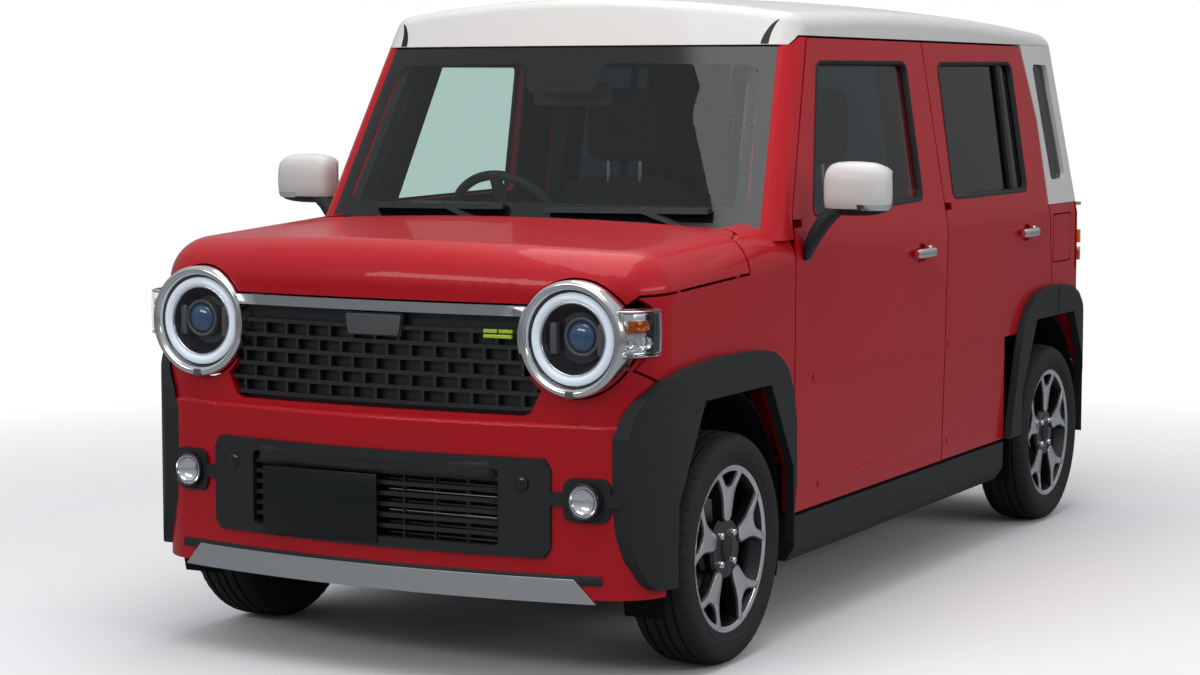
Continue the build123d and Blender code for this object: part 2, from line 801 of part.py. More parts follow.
# ---------------------------------------------------------------- tail lamps, rear bumper
tail_lamp = common(
    joined(tub_shell(0, 45), cabin_shell(0, 45)), box((612.5, 730), (1600, 1720),
                                                      (812.5, quarter_line + 1.7))
)
keep(both_sides(tail_lamp), "tail_lamps")
rear_bumper = cut(
    common(tub_shell(0, 30, low=215), prism_x([(1590, 215), (1590, 480), (1720, 480), (1720, 215)], -760,
                                              760)),
    prism_x(arch_opening(rear_axle_y, 12), -760, 760),
)
gate_pads = [box((x - 15, x + 15), (1662, 1676), (479, 485.7)) for x in (-450, 450)]
keep(joined(rear_bumper, *gate_pads), "rear_bumper")

# ---------------------------------------------------------------- tailgate
gate_front_y = 1568
gate_keep = [(gate_front_y, 486), (gate_front_y, 1720), (1720, 1720), (1720, 486)]
gate_glass_outline = [(-500, 1092), (-468, 1500), (468, 1500), (500, 1092)]
gate_space = common(gate_prism(0, 1400), prism_x(gate_keep, -outer_half, outer_half))
gate_upper = cut(common(cabin_shell(0, 55), gate_space), prism_y(gate_glass_outline, 1400, 1720, corner=40))
gate_lower = common(tub_shell(0, 55), gate_space)
plate_pitch = 210
plate_hole = 3.25
rear_plate_z = 700
plate_recess = box((-185, 185), (y_tail - 14, y_tail + 20), (560, 742))
rear_plate_holes = [rod_y(s * plate_pitch / 2, rear_plate_z, plate_hole, y_tail - 70,
                          y_tail + 10) for s in (-1, 1)]
gate_lower = cut(gate_lower, plate_recess, *rear_plate_holes)
keep(Compound(children=[*gate_upper.solids(), *gate_lower.solids()]), "tailgate")
gate_glass = common(
    cabin_shell(glass_inset, glass_inset + glass_thickness),
    prism_y([(x * 0.9994, z + (0.3 if z < 1200 else -0.3)) for x, z in gate_glass_outline], 1400, 1720,
            corner=40),
)
keep(gate_glass, "tailgate_glass")

# ---------------------------------------------------------------- fixed glass
screen_outline = [(-1100, 1030), screen_edge_low, screen_edge_top, (-800, 1532)]
windscreen = common(cabin_shell(6, 6 + glass_thickness), prism_x(screen_outline, -outer_half, outer_half))
quarter_glass = common(
    cabin_shell(14, 14 + glass_thickness),
    prism_x([(1350.3, 1115.3), (1289.3, 1494.7), (1431.7, 1491.7), (1498.7, 1120.3)], 300, outer_half,
            corner=20),
)
keep(joined(windscreen, both_sides(quarter_glass)), "fixed_glass")

# ---------------------------------------------------------------- lamps and nose trim
lamp_x, lamp_y, lamp_z = 530, -1628, 838
ring_radius = 138
ring_inner = 114
lamp_hole = rod_y(lamp_x, lamp_z, ring_radius + 4, -1720, -1450)
lamp_holes = both_sides(lamp_hole)
nose_hood = [(-1720, 916), (-1596, 916), (-1574, 940), (bonnet_side_rear_y, bonnet_side_low),
             (bonnet_side_rear_y, 1046),
             (bonnet_rear_y, 1058), (bonnet_rear_y, 1150), (-1720, 1150)]
bonnet = cut(common(nose_shell(0, 22), prism_x(nose_hood, -outer_half, outer_half)), lamp_holes)
keep(bonnet, "bonnet")

side_lamp_outline = [(-1700, 802), (-1556, 802), (-1547, 904), (-1700, 908)]
grille_outline = [(-398, 884), (398, 884), (420, 740), (446, 712), (420, 660), (400, 652), (-400, 652),
                  (-420, 660),
                  (-446, 712), (-420, 740)]
fender_outline = [
    (-1580, 768), (-1556, 800), (-1541, 909), (-1575, 934), (bonnet_side_rear_y - gap,
                                                             bonnet_side_low - gap),
    (bonnet_side_rear_y + gap, bonnet_side_low - gap), (bonnet_side_rear_y + gap,
                                                        1040), (bonnet_rear_y + gap, 1052),
    (bonnet_rear_y + gap, 1120), (door_front_belt[0] - seam, 1120), (door_front_belt[0] - seam, 1000),
    (door_front_foot - seam, 330), (-900, 330), (-1480, 330), (-1482, 712),
]
fender = cut(
    common(nose_shell(0, skin), prism_x(fender_outline, 600, outer_half)),
    prism_x(arch_opening(front_axle_y, 12), 300, outer_half),
    cabin_volume(-1, low=1030),
    lamp_hole,
)


def bonnet_edge(y):
    """Height of the bonnet's side edge."""
    (y0, z0), (y1, z1) = nose_hood[2:4]
    return z0 + (z1 - z0) * (y - y0) / (y1 - y0)


bonnet_pads = [
    prism_x([(y, 925), (y + 20, 925), (y + 20, bonnet_edge(y + 20) - 0.4), (y, bonnet_edge(y) - 0.4)],
            700.5, 706)
    for y in (-1450, -1120)
]
keep(both_sides(joined(fender, *bonnet_pads)), "front_fenders")

ring = cut(rod_y(lamp_x, lamp_z, ring_radius, lamp_y - 28, lamp_y + 50),
           rod_y(lamp_x, lamp_z, ring_inner, -1720, -1450))
bar = cut(
    common(nose_shell(-8, 14), box((-414, 414), (-1720, -1500), (887, 912))),
    both_sides(rod_y(lamp_x, lamp_z, ring_inner, -1720, -1450)),
)
keep(joined(bar, both_sides(ring)), "front_trim")

round_lens = cut(rod_y(lamp_x, lamp_z, ring_inner - 0.5, lamp_y - 18, lamp_y + 70))
side_lens = cut(
    common(nose_shell(-6, 40), prism_x(side_lamp_outline, 560, 760)), rod_y(lamp_x, lamp_z,
        ring_radius + 1, -1720, -1450)
)


@cache
def bumper_volume(inset=0.0, low=228, top=640):
    """The bumper's fuller lower part."""
    half = body_half_width - inset
    with BuildPart() as volume:
        add(plan(low, half, bumper_y + inset, nose_sag + 24, 0, 10, nose_corner - inset, 5))
        extrude(amount=top - low)
        upper = volume.faces().sort_by(Axis.Z)[-1]
        fillet([edge for edge in upper.edges() if edge.center().Y < -800], 14)
    return volume.part


@cache
def bumper_shell(outer, inner, low=228):
    """The bumper's skin between two insets."""
    return cut(bumper_volume(outer, low), bumper_volume(inner, low - 10, 700))


# ---------------------------------------------------------------- arch flares and sill cladding
front_flare_out = [(-829, 250), (-829, 320), (-811, 414), (-813, 492), (-814, 570), (-835, 649),
                   (-861, 698), (-899, 732),
                   (-955, 758), (-1016, 767), (-1250, 773), (-1453, 761), (-1540, 740), (-1585,
                       702), (-1605, 665),
                   (-1616, 609), (-1616, 469), (-1613, 380), (-1603, 320), (-1580, 268), (-1560, 250)]
flare_skin = cut(tub_volume(-25.5, low=200), tub_volume(-0.3, low=190))
front_flare = cut(
    common(flare_skin, prism_x(front_flare_out, 560, 800, corner=9)),
    prism_x(arch_opening(front_axle_y), 300, 800),
    bumper_volume(-0.3, low=180, top=800),
)
rear_flare_out = [(861, 323), (898, 440), (940, 570), (985, 665), (1040, 720), (1110, 755), (1215, 772),
                  (1385, 773),
                  (1480, 760), (1540, 735), (1590, 690), (1625, 620), (1645, 530), (1660, 256), (845,
                      256), (845, 323)]
rear_flare = cut(
    common(flare_skin, prism_x(rear_flare_out, 560, 800)),
    prism_x(arch_opening(rear_axle_y), 300, 800),
)
flare_split = door_rear_edge[-1][0]
door_part = common(rear_flare, box((560, 800), (700, flare_split - seam), (door_low, 900)))
body_part = common(rear_flare, box((560, 800), (flare_split + seam, 1720), (200, 900)))
keep(door_part, "door_flare_left")
keep(right_hand(door_part), "door_flare_right")
keep(both_sides(joined(*front_flare.solids(), *body_part.solids())), "arch_flares")

sill = cut(
    prism_y([(640, 192), (692, 192), (716, 232), (718, 311), (640, 311)], -780, 844),
    prism_x(arch_opening(rear_axle_y, 2), 300, 800),
    prism_x(arch_opening(front_axle_y, 2), 300, 800),
)
keep(both_sides(sill), "sill_cladding")

fog_x, fog_z = 565, 462
guard_outline = [(-462, 556), (462, 556), (478, 530), (478, 345), (462, 322), (-462, 322), (-478, 345),
                 (-478, 530)]
bumper_face = joined(
    common(bumper_shell(0, 26), prism_x([(-1750, 228), (-1486, 228), (-1486, 640), (-1750, 640)], -760,
                                        760)),
    common(nose_shell(0, 26), prism_x([(-1750, 600), (-1487, 600), (-1488, 706), (-1586, 764),
                                       (-1562, 797), (-1562, 905),
                                       (-1750, 905)], -760, 760)),
)
fog_square = prism_y([(fog_x - 56, fog_z - 52), (fog_x + 56, fog_z - 52), (fog_x + 56, fog_z + 52),
                      (fog_x - 56, fog_z + 52)],
                     -1720, -1450, corner=24)
side_bar = box((440, 700), (-1720, -1500), (446, 479))
front_bumper = cut(
    bumper_face,
    lamp_holes,
    both_sides(prism_x([(-1750, 797), (-1562, 797), (-1540, 912), (-1750, 912)], 560, 800)),
    prism_y(grille_outline, -1720, -1500),
    box((-418, 418), (-1720, -1500), (880, 920)),
    prism_y([(x * 1.0015, z + (0.5 if z > 440 else -0.5)) for x, z in guard_outline], -1720, -1450),
    both_sides(fog_square),
    prism_x(arch_opening(front_axle_y, 12), -760, 760),
)
keep(front_bumper, "front_bumper")

guard_window = [(-350, 528), (350, 528), (350, 345), (-350, 345)]
guard_frame = cut(
    common(bumper_shell(-guard_proud, 24), prism_y(guard_outline, -1720, -1450)),
    prism_y(guard_window, -1720, -1450, corner=12),
)
slat_count = 6
slat_pitch = (528 - 345) / (slat_count + 1)
slats = [box((-352, 352), (-1690, -1640), (345 + slat_pitch * (i + 1) - 5, 345 + slat_pitch * (i + 1) + 5))
         for i in range(slat_count)]
slats = [common(bumper_shell(4, 22), slat) for slat in slats]
mullions = [common(bumper_shell(12, 22), box((x - 3, x + 3), (-1700, -1600), (340, 532))) for x in (-260,
    -90, 90, 175, 260)]
fog_ring = cut(
    common(bumper_shell(-6, 30), prism_y([(fog_x - 55.6, fog_z - 51.6), (fog_x + 55.6, fog_z - 51.6),
                                          (fog_x + 55.6, fog_z + 51.6), (fog_x - 55.6,
                                              fog_z + 51.6)], -1720, -1450, corner=24)),
    rod_y(fog_x, fog_z, 40, -1720, -1450),
)
guard_bar = cut(common(bumper_shell(-7, -0.3), side_bar), rod_y(fog_x, fog_z, 41, -1720, -1450), front_flare)
front_plate_x, front_plate_z, front_plate_y = -137, 488, -1672
bracket_hole = [rod_y(front_plate_x + s * plate_pitch / 2, front_plate_z, plate_hole, -1720,
                      -1600) for s in (-1, 1)]
plate_bracket = cut(
    box((front_plate_x - 125, front_plate_x + 125), (front_plate_y, front_plate_y + 10),
        (474, 532)), *bracket_hole
)
lower_guard = joined(cut(guard_frame, *bracket_hole), plate_bracket, *slats, *mullions,
                     both_sides(joined(fog_ring, guard_bar)))
keep(lower_guard, "lower_guard")
fog_lens = rod_y(fog_x, fog_z, 39.6, -1652, -1625)
keep(joined(*both_sides(joined(round_lens, side_lens)).solids(), *both_sides(fog_lens).solids()),
     "front_lamps")

skid = common(
    cut(bumper_volume(-guard_proud, low=214), bumper_volume(-0.3, low=200, top=700)),
    prism_y([(-588, 218), (-535, 276), (535, 276), (588, 218)], -1730, -1500),
)
keep(skid, "skid_bar")

grille_back = common(nose_shell(27, 35), prism_y([(x * 1.01, z) for x, z in grille_outline], -1720, -1500))
row_z = [668 + 36 * i for i in range(6)]
with BuildPart() as bars:
    with BuildSketch(Plane.XZ.offset(1500)):
        for z in row_z:
            with Locations((0, z)):
                Rectangle(880, 10)
        for i, z in enumerate(row_z[:-1]):
            with Locations(*[(x, z + 18) for x in range(-396 + 33 * (i % 2), 430, 66)]):
                Rectangle(8, 30)
    extrude(amount=220)
bars_shape = bars.part
grille_mesh = common(common(nose_shell(6, 28), prism_y([(x * 0.998, z) for x, z in grille_outline], -1720,
                                                       -1500)), bars_shape)
sensor_panel = common(nose_shell(1, 28), prism_y([(-84, 882), (84, 882), (76, 826), (-76, 826)], -1720,
                                                 -1500, corner=5))
grille = cut(joined(grille_back, grille_mesh, sensor_panel),
             both_sides(rod_y(lamp_x, lamp_z, ring_radius + 1, -1720, -1450)))
keep(grille, "grille")

# ---------------------------------------------------------------- wipers, antenna, inner mirror
wiper_table = [(-500, -70, 1092, 1098), (60, 520, 1092, 1096)]
blades = [
    common(cut(cabin_volume(-22, low=1000), cabin_volume(-3, low=990)),
           prism_y([(x0, z0), (x1, z1), (x1, z1 + 14), (x0, z0 + 14)], -1000, -800))
    for x0, x1, z0, z1 in wiper_table
]
arms = [
    common(cut(cabin_volume(-22, low=1000), cabin_volume(-3, low=990)),
           prism_y([(x1 - 190, z1 + 2), (x1 + 20, 1030), (x1 + 44, 1030), (x1 - 190, z1 + 16)], -1020, -800))
    for x0, x1, z0, z1 in wiper_table
]
pivots = [
    cut(box((x1 + 18, x1 + 46), (-970, -890), (995, 1046)),
        cabin_volume(-3, low=990)) for x0, x1, z0, z1 in wiper_table
]
wipers = [joined(blade, arm, pivot) for blade, arm, pivot in zip(blades, arms, pivots)]
keep(Compound(children=[solid for wiper in wipers for solid in wiper.solids()]), "wipers")

antenna_x, antenna_y = -400, 1237
with BuildPart() as antenna:
    with BuildSketch(Plane(origin=(antenna_x, antenna_y, 1636),
                           z_dir=(0, sin(radians(40)), cos(radians(40))))):
        Circle(6)
    extrude(amount=180)
antenna_foot = cut(
    prism_z([(antenna_x - 16, antenna_y - 30), (antenna_x + 16, antenna_y - 30),
             (antenna_x + 16, antenna_y + 30),
             (antenna_x - 16, antenna_y + 30)], 1600, 1654, corner=14),
    cabin_volume(-0.3),
)
keep(joined(cut(antenna.part, cabin_volume(-0.3)), antenna_foot), "antenna")

mirror_pod = common(box((-60, 60), (-800, -600), (1420, 1500)), cut(cabin_volume(12), cabin_volume(45)))
mirror_arm = common(box((-8, 8), (-735, -660), (1412, 1430)), cabin_volume(12))
inner_mirror = joined(cut(mirror_pod, windscreen), mirror_arm, box((-115, 115), (-672, -650), (1372, 1434)))
keep(inner_mirror, "inner_mirror")

# ---------------------------------------------------------------- dashboard, steering wheel, seats
dashboard = prism_x([(-876, 760), (-876, 1050), (-790, 1088), (-600, 1100), (-545, 1070), (-530, 930),
                     (-600, 760)], -540, 540)
steer_centre = (-330, -440, 1010)
steer_tilt = radians(25)
steer_plane = Plane(origin=steer_centre, z_dir=(0, cos(steer_tilt), sin(steer_tilt)))
column_plane = Plane(origin=steer_centre, z_dir=(0, -cos(steer_tilt), -sin(steer_tilt)))
with BuildPart() as column:
    with BuildSketch(column_plane.offset(34)):
        Circle(36)
    extrude(amount=110)
keep(joined(dashboard, column.part), "dashboard")
rim_mean = 178
with BuildPart() as steering_wheel:
    with Locations(steer_plane):
        Torus(rim_mean, 14)
    with BuildSketch(steer_plane.offset(-14)):
        Circle(58)
        Rectangle(2 * rim_mean, 26)
        with Locations((0, -rim_mean / 2)):
            Rectangle(30, rim_mean)
    extrude(amount=24)
    with BuildSketch(steer_plane.offset(-28)):
        Circle(40)
    extrude(amount=16)
keep(steering_wheel.part, "steering_wheel")


def chair(x_mid, half, y_front, y_back, base_z):
    """A seat on its base: cushion, leaning back and headrest."""
    x0, x1 = x_mid - half, x_mid + half
    base = box((x0 + 40, x1 - 40), (y_front + 60, y_back - 40), (262, base_z))
    cushion = prism_x([(y_front, base_z), (y_front - 10, base_z + 110), (y_front + 60, base_z + 140),
                       (y_back, base_z + 120),
                       (y_back + 20, base_z)], x0, x1)
    back = prism_x([(y_back - 40, base_z + 100), (y_back + 130, base_z + 640), (y_back + 215, base_z + 630),
                    (y_back + 110, base_z + 40), (y_back, base_z + 20)], x0 + 10, x1 - 10)
    rest = prism_x([(y_back + 78, base_z + 685), (y_back + 98, base_z + 925), (y_back + 165, base_z + 925),
                    (y_back + 178, base_z + 680)], x_mid - 125, x_mid + 125)
    stalks = [box((x_mid + s * 60 - 7, x_mid + s * 60 + 7), (y_back + 130, y_back + 145),
                  (base_z + 610, base_z + 700))
              for s in (-1, 1)]
    return joined(base, cushion, back, rest, *stalks)


keep(Compound(children=[chair(-305, 250, -275, 105, 500), chair(305, 250, -275, 105, 500)]), "front_seats")
rear_cushion = prism_x([(800, 460), (790, 570), (860, 600), (1180, 580), (1200, 460)], -480, 480)
rear_base = box((-480, 480), (862, 1180), (434.3, 461))
rear_back = prism_x([(1150, 580), (1270, 1090), (1345, 1085), (1260, 560), (1200, 545)], -480, 480)
rear_rests = [
    prism_x([(1275, 1120), (1285, 1280), (1345, 1280), (1350, 1115)], x - 115, x + 115) for x in (-250, 250)
]
rear_stalks = [box((x + s * 55 - 7, x + s * 55 + 7), (1300, 1318), (1080, 1130)) for x in (-250,
    250) for s in (-1, 1)]
keep(joined(rear_cushion, rear_base, rear_back, *rear_rests, *rear_stalks), "rear_seat")

# ---------------------------------------------------------------- engine block, tank and exhaust
engine_mounts = box((-325, 325), (-1400, -1340), (430, 450))
powertrain = joined(box((-300, 300), (-1500, -960), (330, 880)), engine_mounts)
keep(powertrain, "powertrain")
tank = prism_z([(-300, 560), (300, 560), (300, 840), (-300, 840)], 190, 249.7, corner=30)
silencer = prism_z([(-250, 1420), (250, 1420), (250, 1590), (-250, 1590)], 290, 419.7, corner=40)
tail_pipe = rod_y(-330, 330, 20, 1450, 1650)
pipe_link = rod_x(1500, 330, 20, -345, -240)
front_pipe = rod_y(200, 215, 22, -960, 562)
keep(joined(silencer, tail_pipe, pipe_link, tank, front_pipe), "tank_exhaust")
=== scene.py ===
"""Kei car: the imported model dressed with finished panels, glass, lamps, wheels, trim and cabin."""

from math import atan2, cos, hypot, pi, radians, sin

import bmesh
import bpy
from mathutils import Matrix, Vector
from mathutils.bvhtree import BVHTree
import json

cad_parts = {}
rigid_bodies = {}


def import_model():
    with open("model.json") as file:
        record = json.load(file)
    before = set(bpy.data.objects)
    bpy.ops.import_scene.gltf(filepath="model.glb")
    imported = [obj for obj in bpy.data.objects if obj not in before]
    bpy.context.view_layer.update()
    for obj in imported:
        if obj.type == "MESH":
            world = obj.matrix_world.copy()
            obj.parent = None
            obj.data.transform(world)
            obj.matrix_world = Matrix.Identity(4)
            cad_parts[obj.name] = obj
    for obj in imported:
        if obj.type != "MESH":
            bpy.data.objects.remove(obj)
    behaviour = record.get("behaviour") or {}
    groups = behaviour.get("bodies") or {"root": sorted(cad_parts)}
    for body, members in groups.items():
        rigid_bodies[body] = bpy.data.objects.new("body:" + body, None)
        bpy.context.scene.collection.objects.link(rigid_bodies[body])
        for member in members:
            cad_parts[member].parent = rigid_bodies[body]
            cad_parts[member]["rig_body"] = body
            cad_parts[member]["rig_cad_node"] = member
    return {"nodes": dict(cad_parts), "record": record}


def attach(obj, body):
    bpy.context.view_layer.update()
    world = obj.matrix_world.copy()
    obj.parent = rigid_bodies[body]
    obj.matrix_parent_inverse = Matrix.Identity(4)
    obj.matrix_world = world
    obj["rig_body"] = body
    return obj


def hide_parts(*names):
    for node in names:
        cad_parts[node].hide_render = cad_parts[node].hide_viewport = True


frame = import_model()
nodes = frame["nodes"]
bpy.ops.object.select_all(action="DESELECT")
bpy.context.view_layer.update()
bodies = frame["record"]["behaviour"]["bodies"]
body_of_node = {name: body for body, names in bodies.items() for name in names}
slot_of = {entry["node"]: entry["material_slot"] for entry in frame["record"]["subparts"]}

SIDES = (("left", 1), ("right", -1))
ENDS = (("front", -1.1645), ("rear", 1.2955))  # each axle's place along the car
WHEEL_X, HUB_Z = 0.645, 0.288
ORIGIN = (0, 0, 0)
MIRROR = Matrix.Scale(-1, 4, (1, 0, 0))
WELD = 0.00002  # points nearer than this become one


# ---------------------------------------------------------------- shader nodes
def added(tree, kind, inputs=None, **settings):
    """A new shader node; each of its inputs takes a value or joins another node's socket."""
    node = tree.nodes.new(f"ShaderNode{kind}")
    for name, value in settings.items():
        setattr(node, name, value)
    for key, value in (inputs or {}).items():
        if isinstance(value, bpy.types.NodeSocket):
            tree.links.new(value, node.inputs[key])
        else:
            node.inputs[key].default_value = value
    return node


def worked(tree, operation, *values):
    """The result of one sum on numbers or sockets."""
    return added(tree, "Math", dict(enumerate(values)), operation=operation).outputs["Value"]


def seen_directly(tree):
    """1 where a thing is looked at or looked through, and 0 where it only gives or mirrors light."""
    path = added(tree, "LightPath")
    return worked(tree, "MAXIMUM", path.outputs["Is Camera Ray"], path.outputs["Is Transmission Ray"])


def blended(tree, share, one, other):
    """One shader or background, giving way to another by a share."""
    return added(tree, "MixShader", {"Fac": share, 1: one, 2: other}).outputs["Shader"]


def new_material(name):
    """An empty node material with its output."""
    material = bpy.data.materials.new(name)
    material.use_nodes = True
    tree = material.node_tree
    tree.nodes.clear()
    return material, tree, added(tree, "OutputMaterial")


# ---------------------------------------------------------------- camera, floor and light
CAMERA_PLACE = (3.4058, -6.9236, 1.4207)
CAMERA_DIP, CAMERA_TURN = 4.985, 27.698  # degrees below level, and round from straight ahead
CAMERA_LENS, SENSOR_WIDTH = 78.27, 36
CAMERA_SHIFT = (-0.00945, -0.0191)
FLOOR_RADIUS = 30
FLOOR_LIT, FLOOR_SEEN = (0.30, 0.31, 0.32, 1), (0.86, 0.86, 0.87, 1)
FADE_START, FADE_END = 2.3, 4.6  # where the floor begins to turn white, and where it is white
SKY_TOP, SKY_LOW, SKY_HIGH = 0.9, 0.26, 0.74  # height of the direction, light at the horizon and at the top
WHITE = (1, 1, 1, 1)


def add_camera():
    """The camera stands ahead of the car's left front corner, at eye height."""
    turn = (radians(90 - CAMERA_DIP), 0, radians(CAMERA_TURN))
    bpy.ops.object.camera_add(location=CAMERA_PLACE, rotation=turn)
    camera = bpy.context.object
    camera.data.sensor_width = SENSOR_WIDTH
    camera.data.lens = CAMERA_LENS
    camera.data.shift_x, camera.data.shift_y = CAMERA_SHIFT
    camera.data.clip_start, camera.data.clip_end = 0.1, 200
    bpy.context.scene.camera = camera


def add_floor():
    """A pale floor that keeps the soft shadow and runs out into the white background."""
    bpy.ops.mesh.primitive_circle_add(vertices=64, radius=FLOOR_RADIUS, fill_type="NGON", location=ORIGIN)
    floor = bpy.context.object
    floor.name = "studio_floor"
    material, tree, out = new_material("studio_floor")
    seen = seen_directly(tree)
    tone = added(tree, "MixRGB", {"Fac": seen, "Color1": FLOOR_LIT, "Color2": FLOOR_SEEN})
    shade = added(tree, "BsdfDiffuse", {"Color": tone.outputs["Color"]})
    white = added(tree, "Emission", {"Color": WHITE})
    where = added(tree, "TexCoord").outputs["Object"]
    reach = added(tree, "VectorMath", {0: where}, operation="LENGTH").outputs["Value"]
    fade = added(tree, "MapRange", {
        "Value": reach, "From Min": FADE_START, "From Max": FADE_END, "To Min": 0.0, "To Max": 1.0,
    })
    share = worked(tree, "MULTIPLY", fade.outputs["Result"], seen)
    shown = blended(tree, share, shade.outputs["BSDF"], white.outputs["Emission"])
    tree.links.new(shown, out.inputs["Surface"])
    floor.data.materials.append(material)


def add_world():
    """Studio light that grows towards the top, with a white background where it is seen directly."""
    world = bpy.data.worlds.new("studio")
    bpy.context.scene.world = world
    world.use_nodes = True
    tree = world.node_tree
    tree.nodes.clear()
    direction = added(tree, "TexCoord").outputs["Generated"]
    height = added(tree, "SeparateXYZ", {"Vector": direction}).outputs["Z"]
    rise = added(tree, "MapRange", {
        "Value": height, "From Min": 0.0, "From Max": SKY_TOP, "To Min": SKY_LOW, "To Max": SKY_HIGH,
    })
    soft = added(tree, "Background", {"Color": (0.95, 0.97, 1.0, 1), "Strength": rise.outputs["Result"]})
    white = added(tree, "Background", {"Color": WHITE, "Strength": 1.0})
    seen = seen_directly(tree)
    sky = blended(tree, seen, soft.outputs["Background"], white.outputs["Background"])
    added(tree, "OutputWorld", {"Surface": sky})


def add_lamp(name, place, aim, size, power):
    """One soft rectangular lamp aimed at a point."""
    bpy.ops.object.light_add(type="AREA", location=place)
    lamp = bpy.context.object
    lamp.name = name
    lamp.data.shape = "RECTANGLE"
    lamp.data.size, lamp.data.size_y = size
    lamp.data.energy = power
    lamp.data.spread = pi
    lamp.rotation_euler = (Vector(aim) - Vector(place)).to_track_quat("-Z", "Y").to_euler()


add_camera()
add_floor()
add_world()
add_lamp("overhead", (0.2, -0.8, 4.4), (0, -0.2, 0), (2.6, 6.0), 120)
add_lamp("front_box", (-1.6, -7.0, 3.6), (0, -1.2, 0.8), (4.2, 1.0), 70)
add_lamp("side_box", (6.2, -0.6, 2.6), (0.6, 0.1, 0.8), (6.0, 0.9), 70)
bpy.context.scene.view_settings.view_transform = "Standard"


# ---------------------------------------------------------------- finishes
def varied_colour(tree, colour, scale, amount):
    """A colour that wanders a little over the piece."""
    place = added(tree, "TexCoord").outputs["Object"]
    noise = added(tree, "TexNoise", {"Vector": place, "Scale": scale, "Detail": 3})
    mix = added(tree, "Mix", {
        "Factor": noise.outputs["Fac"],
        "A": (*[c * (1 - amount) for c in colour], 1),
        "B": (*[min(c * (1 + amount), 1) for c in colour], 1),
    }, data_type="RGBA")
    return mix.outputs["Result"]


def surface_grain(tree, scale, depth):
    """A fine relief, as a normal."""
    place = added(tree, "TexCoord").outputs["Object"]
    grain = added(tree, "TexNoise", {"Vector": place, "Scale": scale})
    bump = added(tree, "Bump", {"Height": grain.outputs["Fac"], "Strength": 1.0, "Distance": depth})
    return bump.outputs["Normal"]


def coated(name, look):
    """A material of one principled shader, its inputs given by `look` once its node tree is there."""
    material, tree, out = new_material(name)
    shader = added(tree, "BsdfPrincipled", look(tree))
    tree.links.new(shader.outputs["BSDF"], out.inputs["Surface"])
    return material


def paint(name, colour, metallic=0.0, rough=0.35, flake=0.04):
    """Car paint: pigment under a clear, slightly rippled lacquer."""
    return coated(name, lambda tree: {
        "Base Color": varied_colour(tree, colour, 900, flake), "Metallic": metallic, "Roughness": rough,
        "Specular IOR Level": 0.2, "Coat Weight": 0.4, "Coat Roughness": 0.02, "Coat IOR": 1.45,
        "Coat Normal": surface_grain(tree, 160, 0.00001),
    })


def plastic(name, colour, rough, grain_scale, grain_depth, specular=0.5):
    """Moulded plastic or rubber with a fine grain."""
    return coated(name, lambda tree: {
        "Base Color": varied_colour(tree, colour, 30, 0.06), "Roughness": rough,
        "Specular IOR Level": specular, "Normal": surface_grain(tree, grain_scale, grain_depth),
    })


def metal(name, colour, rough, grain_scale=300):
    """Bare or plated metal."""
    return coated(name, lambda tree: {
        "Base Color": varied_colour(tree, colour, 80, 0.04), "Metallic": 1.0, "Roughness": rough,
        "Normal": surface_grain(tree, grain_scale, 0.00002),
    })


def glowing(name, colour, strength):
    """Lit white plastic."""
    return coated(name, lambda tree: {
        "Base Color": (*colour, 1), "Roughness": 0.25, "Emission Color": (*colour, 1),
        "Emission Strength": strength,
    })


def window(name, tint, ior):
    """Thin tinted glass: see-through, and part mirror on the side that faces out."""
    material, tree, out = new_material(name)
    through = added(tree, "BsdfTransparent", {"Color": (*tint, 1)})
    mirror = added(tree, "BsdfGlossy", {"Color": WHITE, "Roughness": 0.0})
    bounce = added(tree, "Fresnel", {"IOR": ior}).outputs["Fac"]
    outside = worked(tree, "SUBTRACT", 1.0, added(tree, "NewGeometry").outputs["Backfacing"])
    share = worked(tree, "MULTIPLY", bounce, outside)
    shown = blended(tree, share, through.outputs["BSDF"], mirror.outputs["BSDF"])
    tree.links.new(shown, out.inputs["Surface"])
    return material


BODY_RED = (0.47, 0.002, 0.010)
TRIM_DARK = (0.014, 0.014, 0.015, 1)
SKIN_X, WAIST_Z, LEAN_IN = 0.712, 1.0, 0.1357  # the doors' outer face leans in above the waist


def lined_paint(name, depth):
    """Body paint outside and dark trim colour inside, `depth` in from the doors' outer face."""
    material = paint(name, BODY_RED, 0.12, 0.42)
    tree = material.node_tree
    shader = next(node for node in tree.nodes if node.type == "BSDF_PRINCIPLED")
    painted = shader.inputs["Base Color"].links[0].from_socket
    place = added(tree, "SeparateXYZ", {"Vector": added(tree, "TexCoord").outputs["Object"]})
    above = worked(tree, "MAXIMUM", worked(tree, "SUBTRACT", place.outputs["Z"], WAIST_Z), 0.0)
    across = worked(tree, "ABSOLUTE", place.outputs["X"])
    upright = worked(tree, "ADD", across, worked(tree, "MULTIPLY", above, LEAN_IN))
    inside = worked(tree, "LESS_THAN", upright, SKIN_X - depth)
    blend = added(tree, "MixRGB", {"Fac": inside, "Color1": painted, "Color2": TRIM_DARK})
    tree.links.new(blend.outputs["Color"], shader.inputs["Base Color"])
    return material


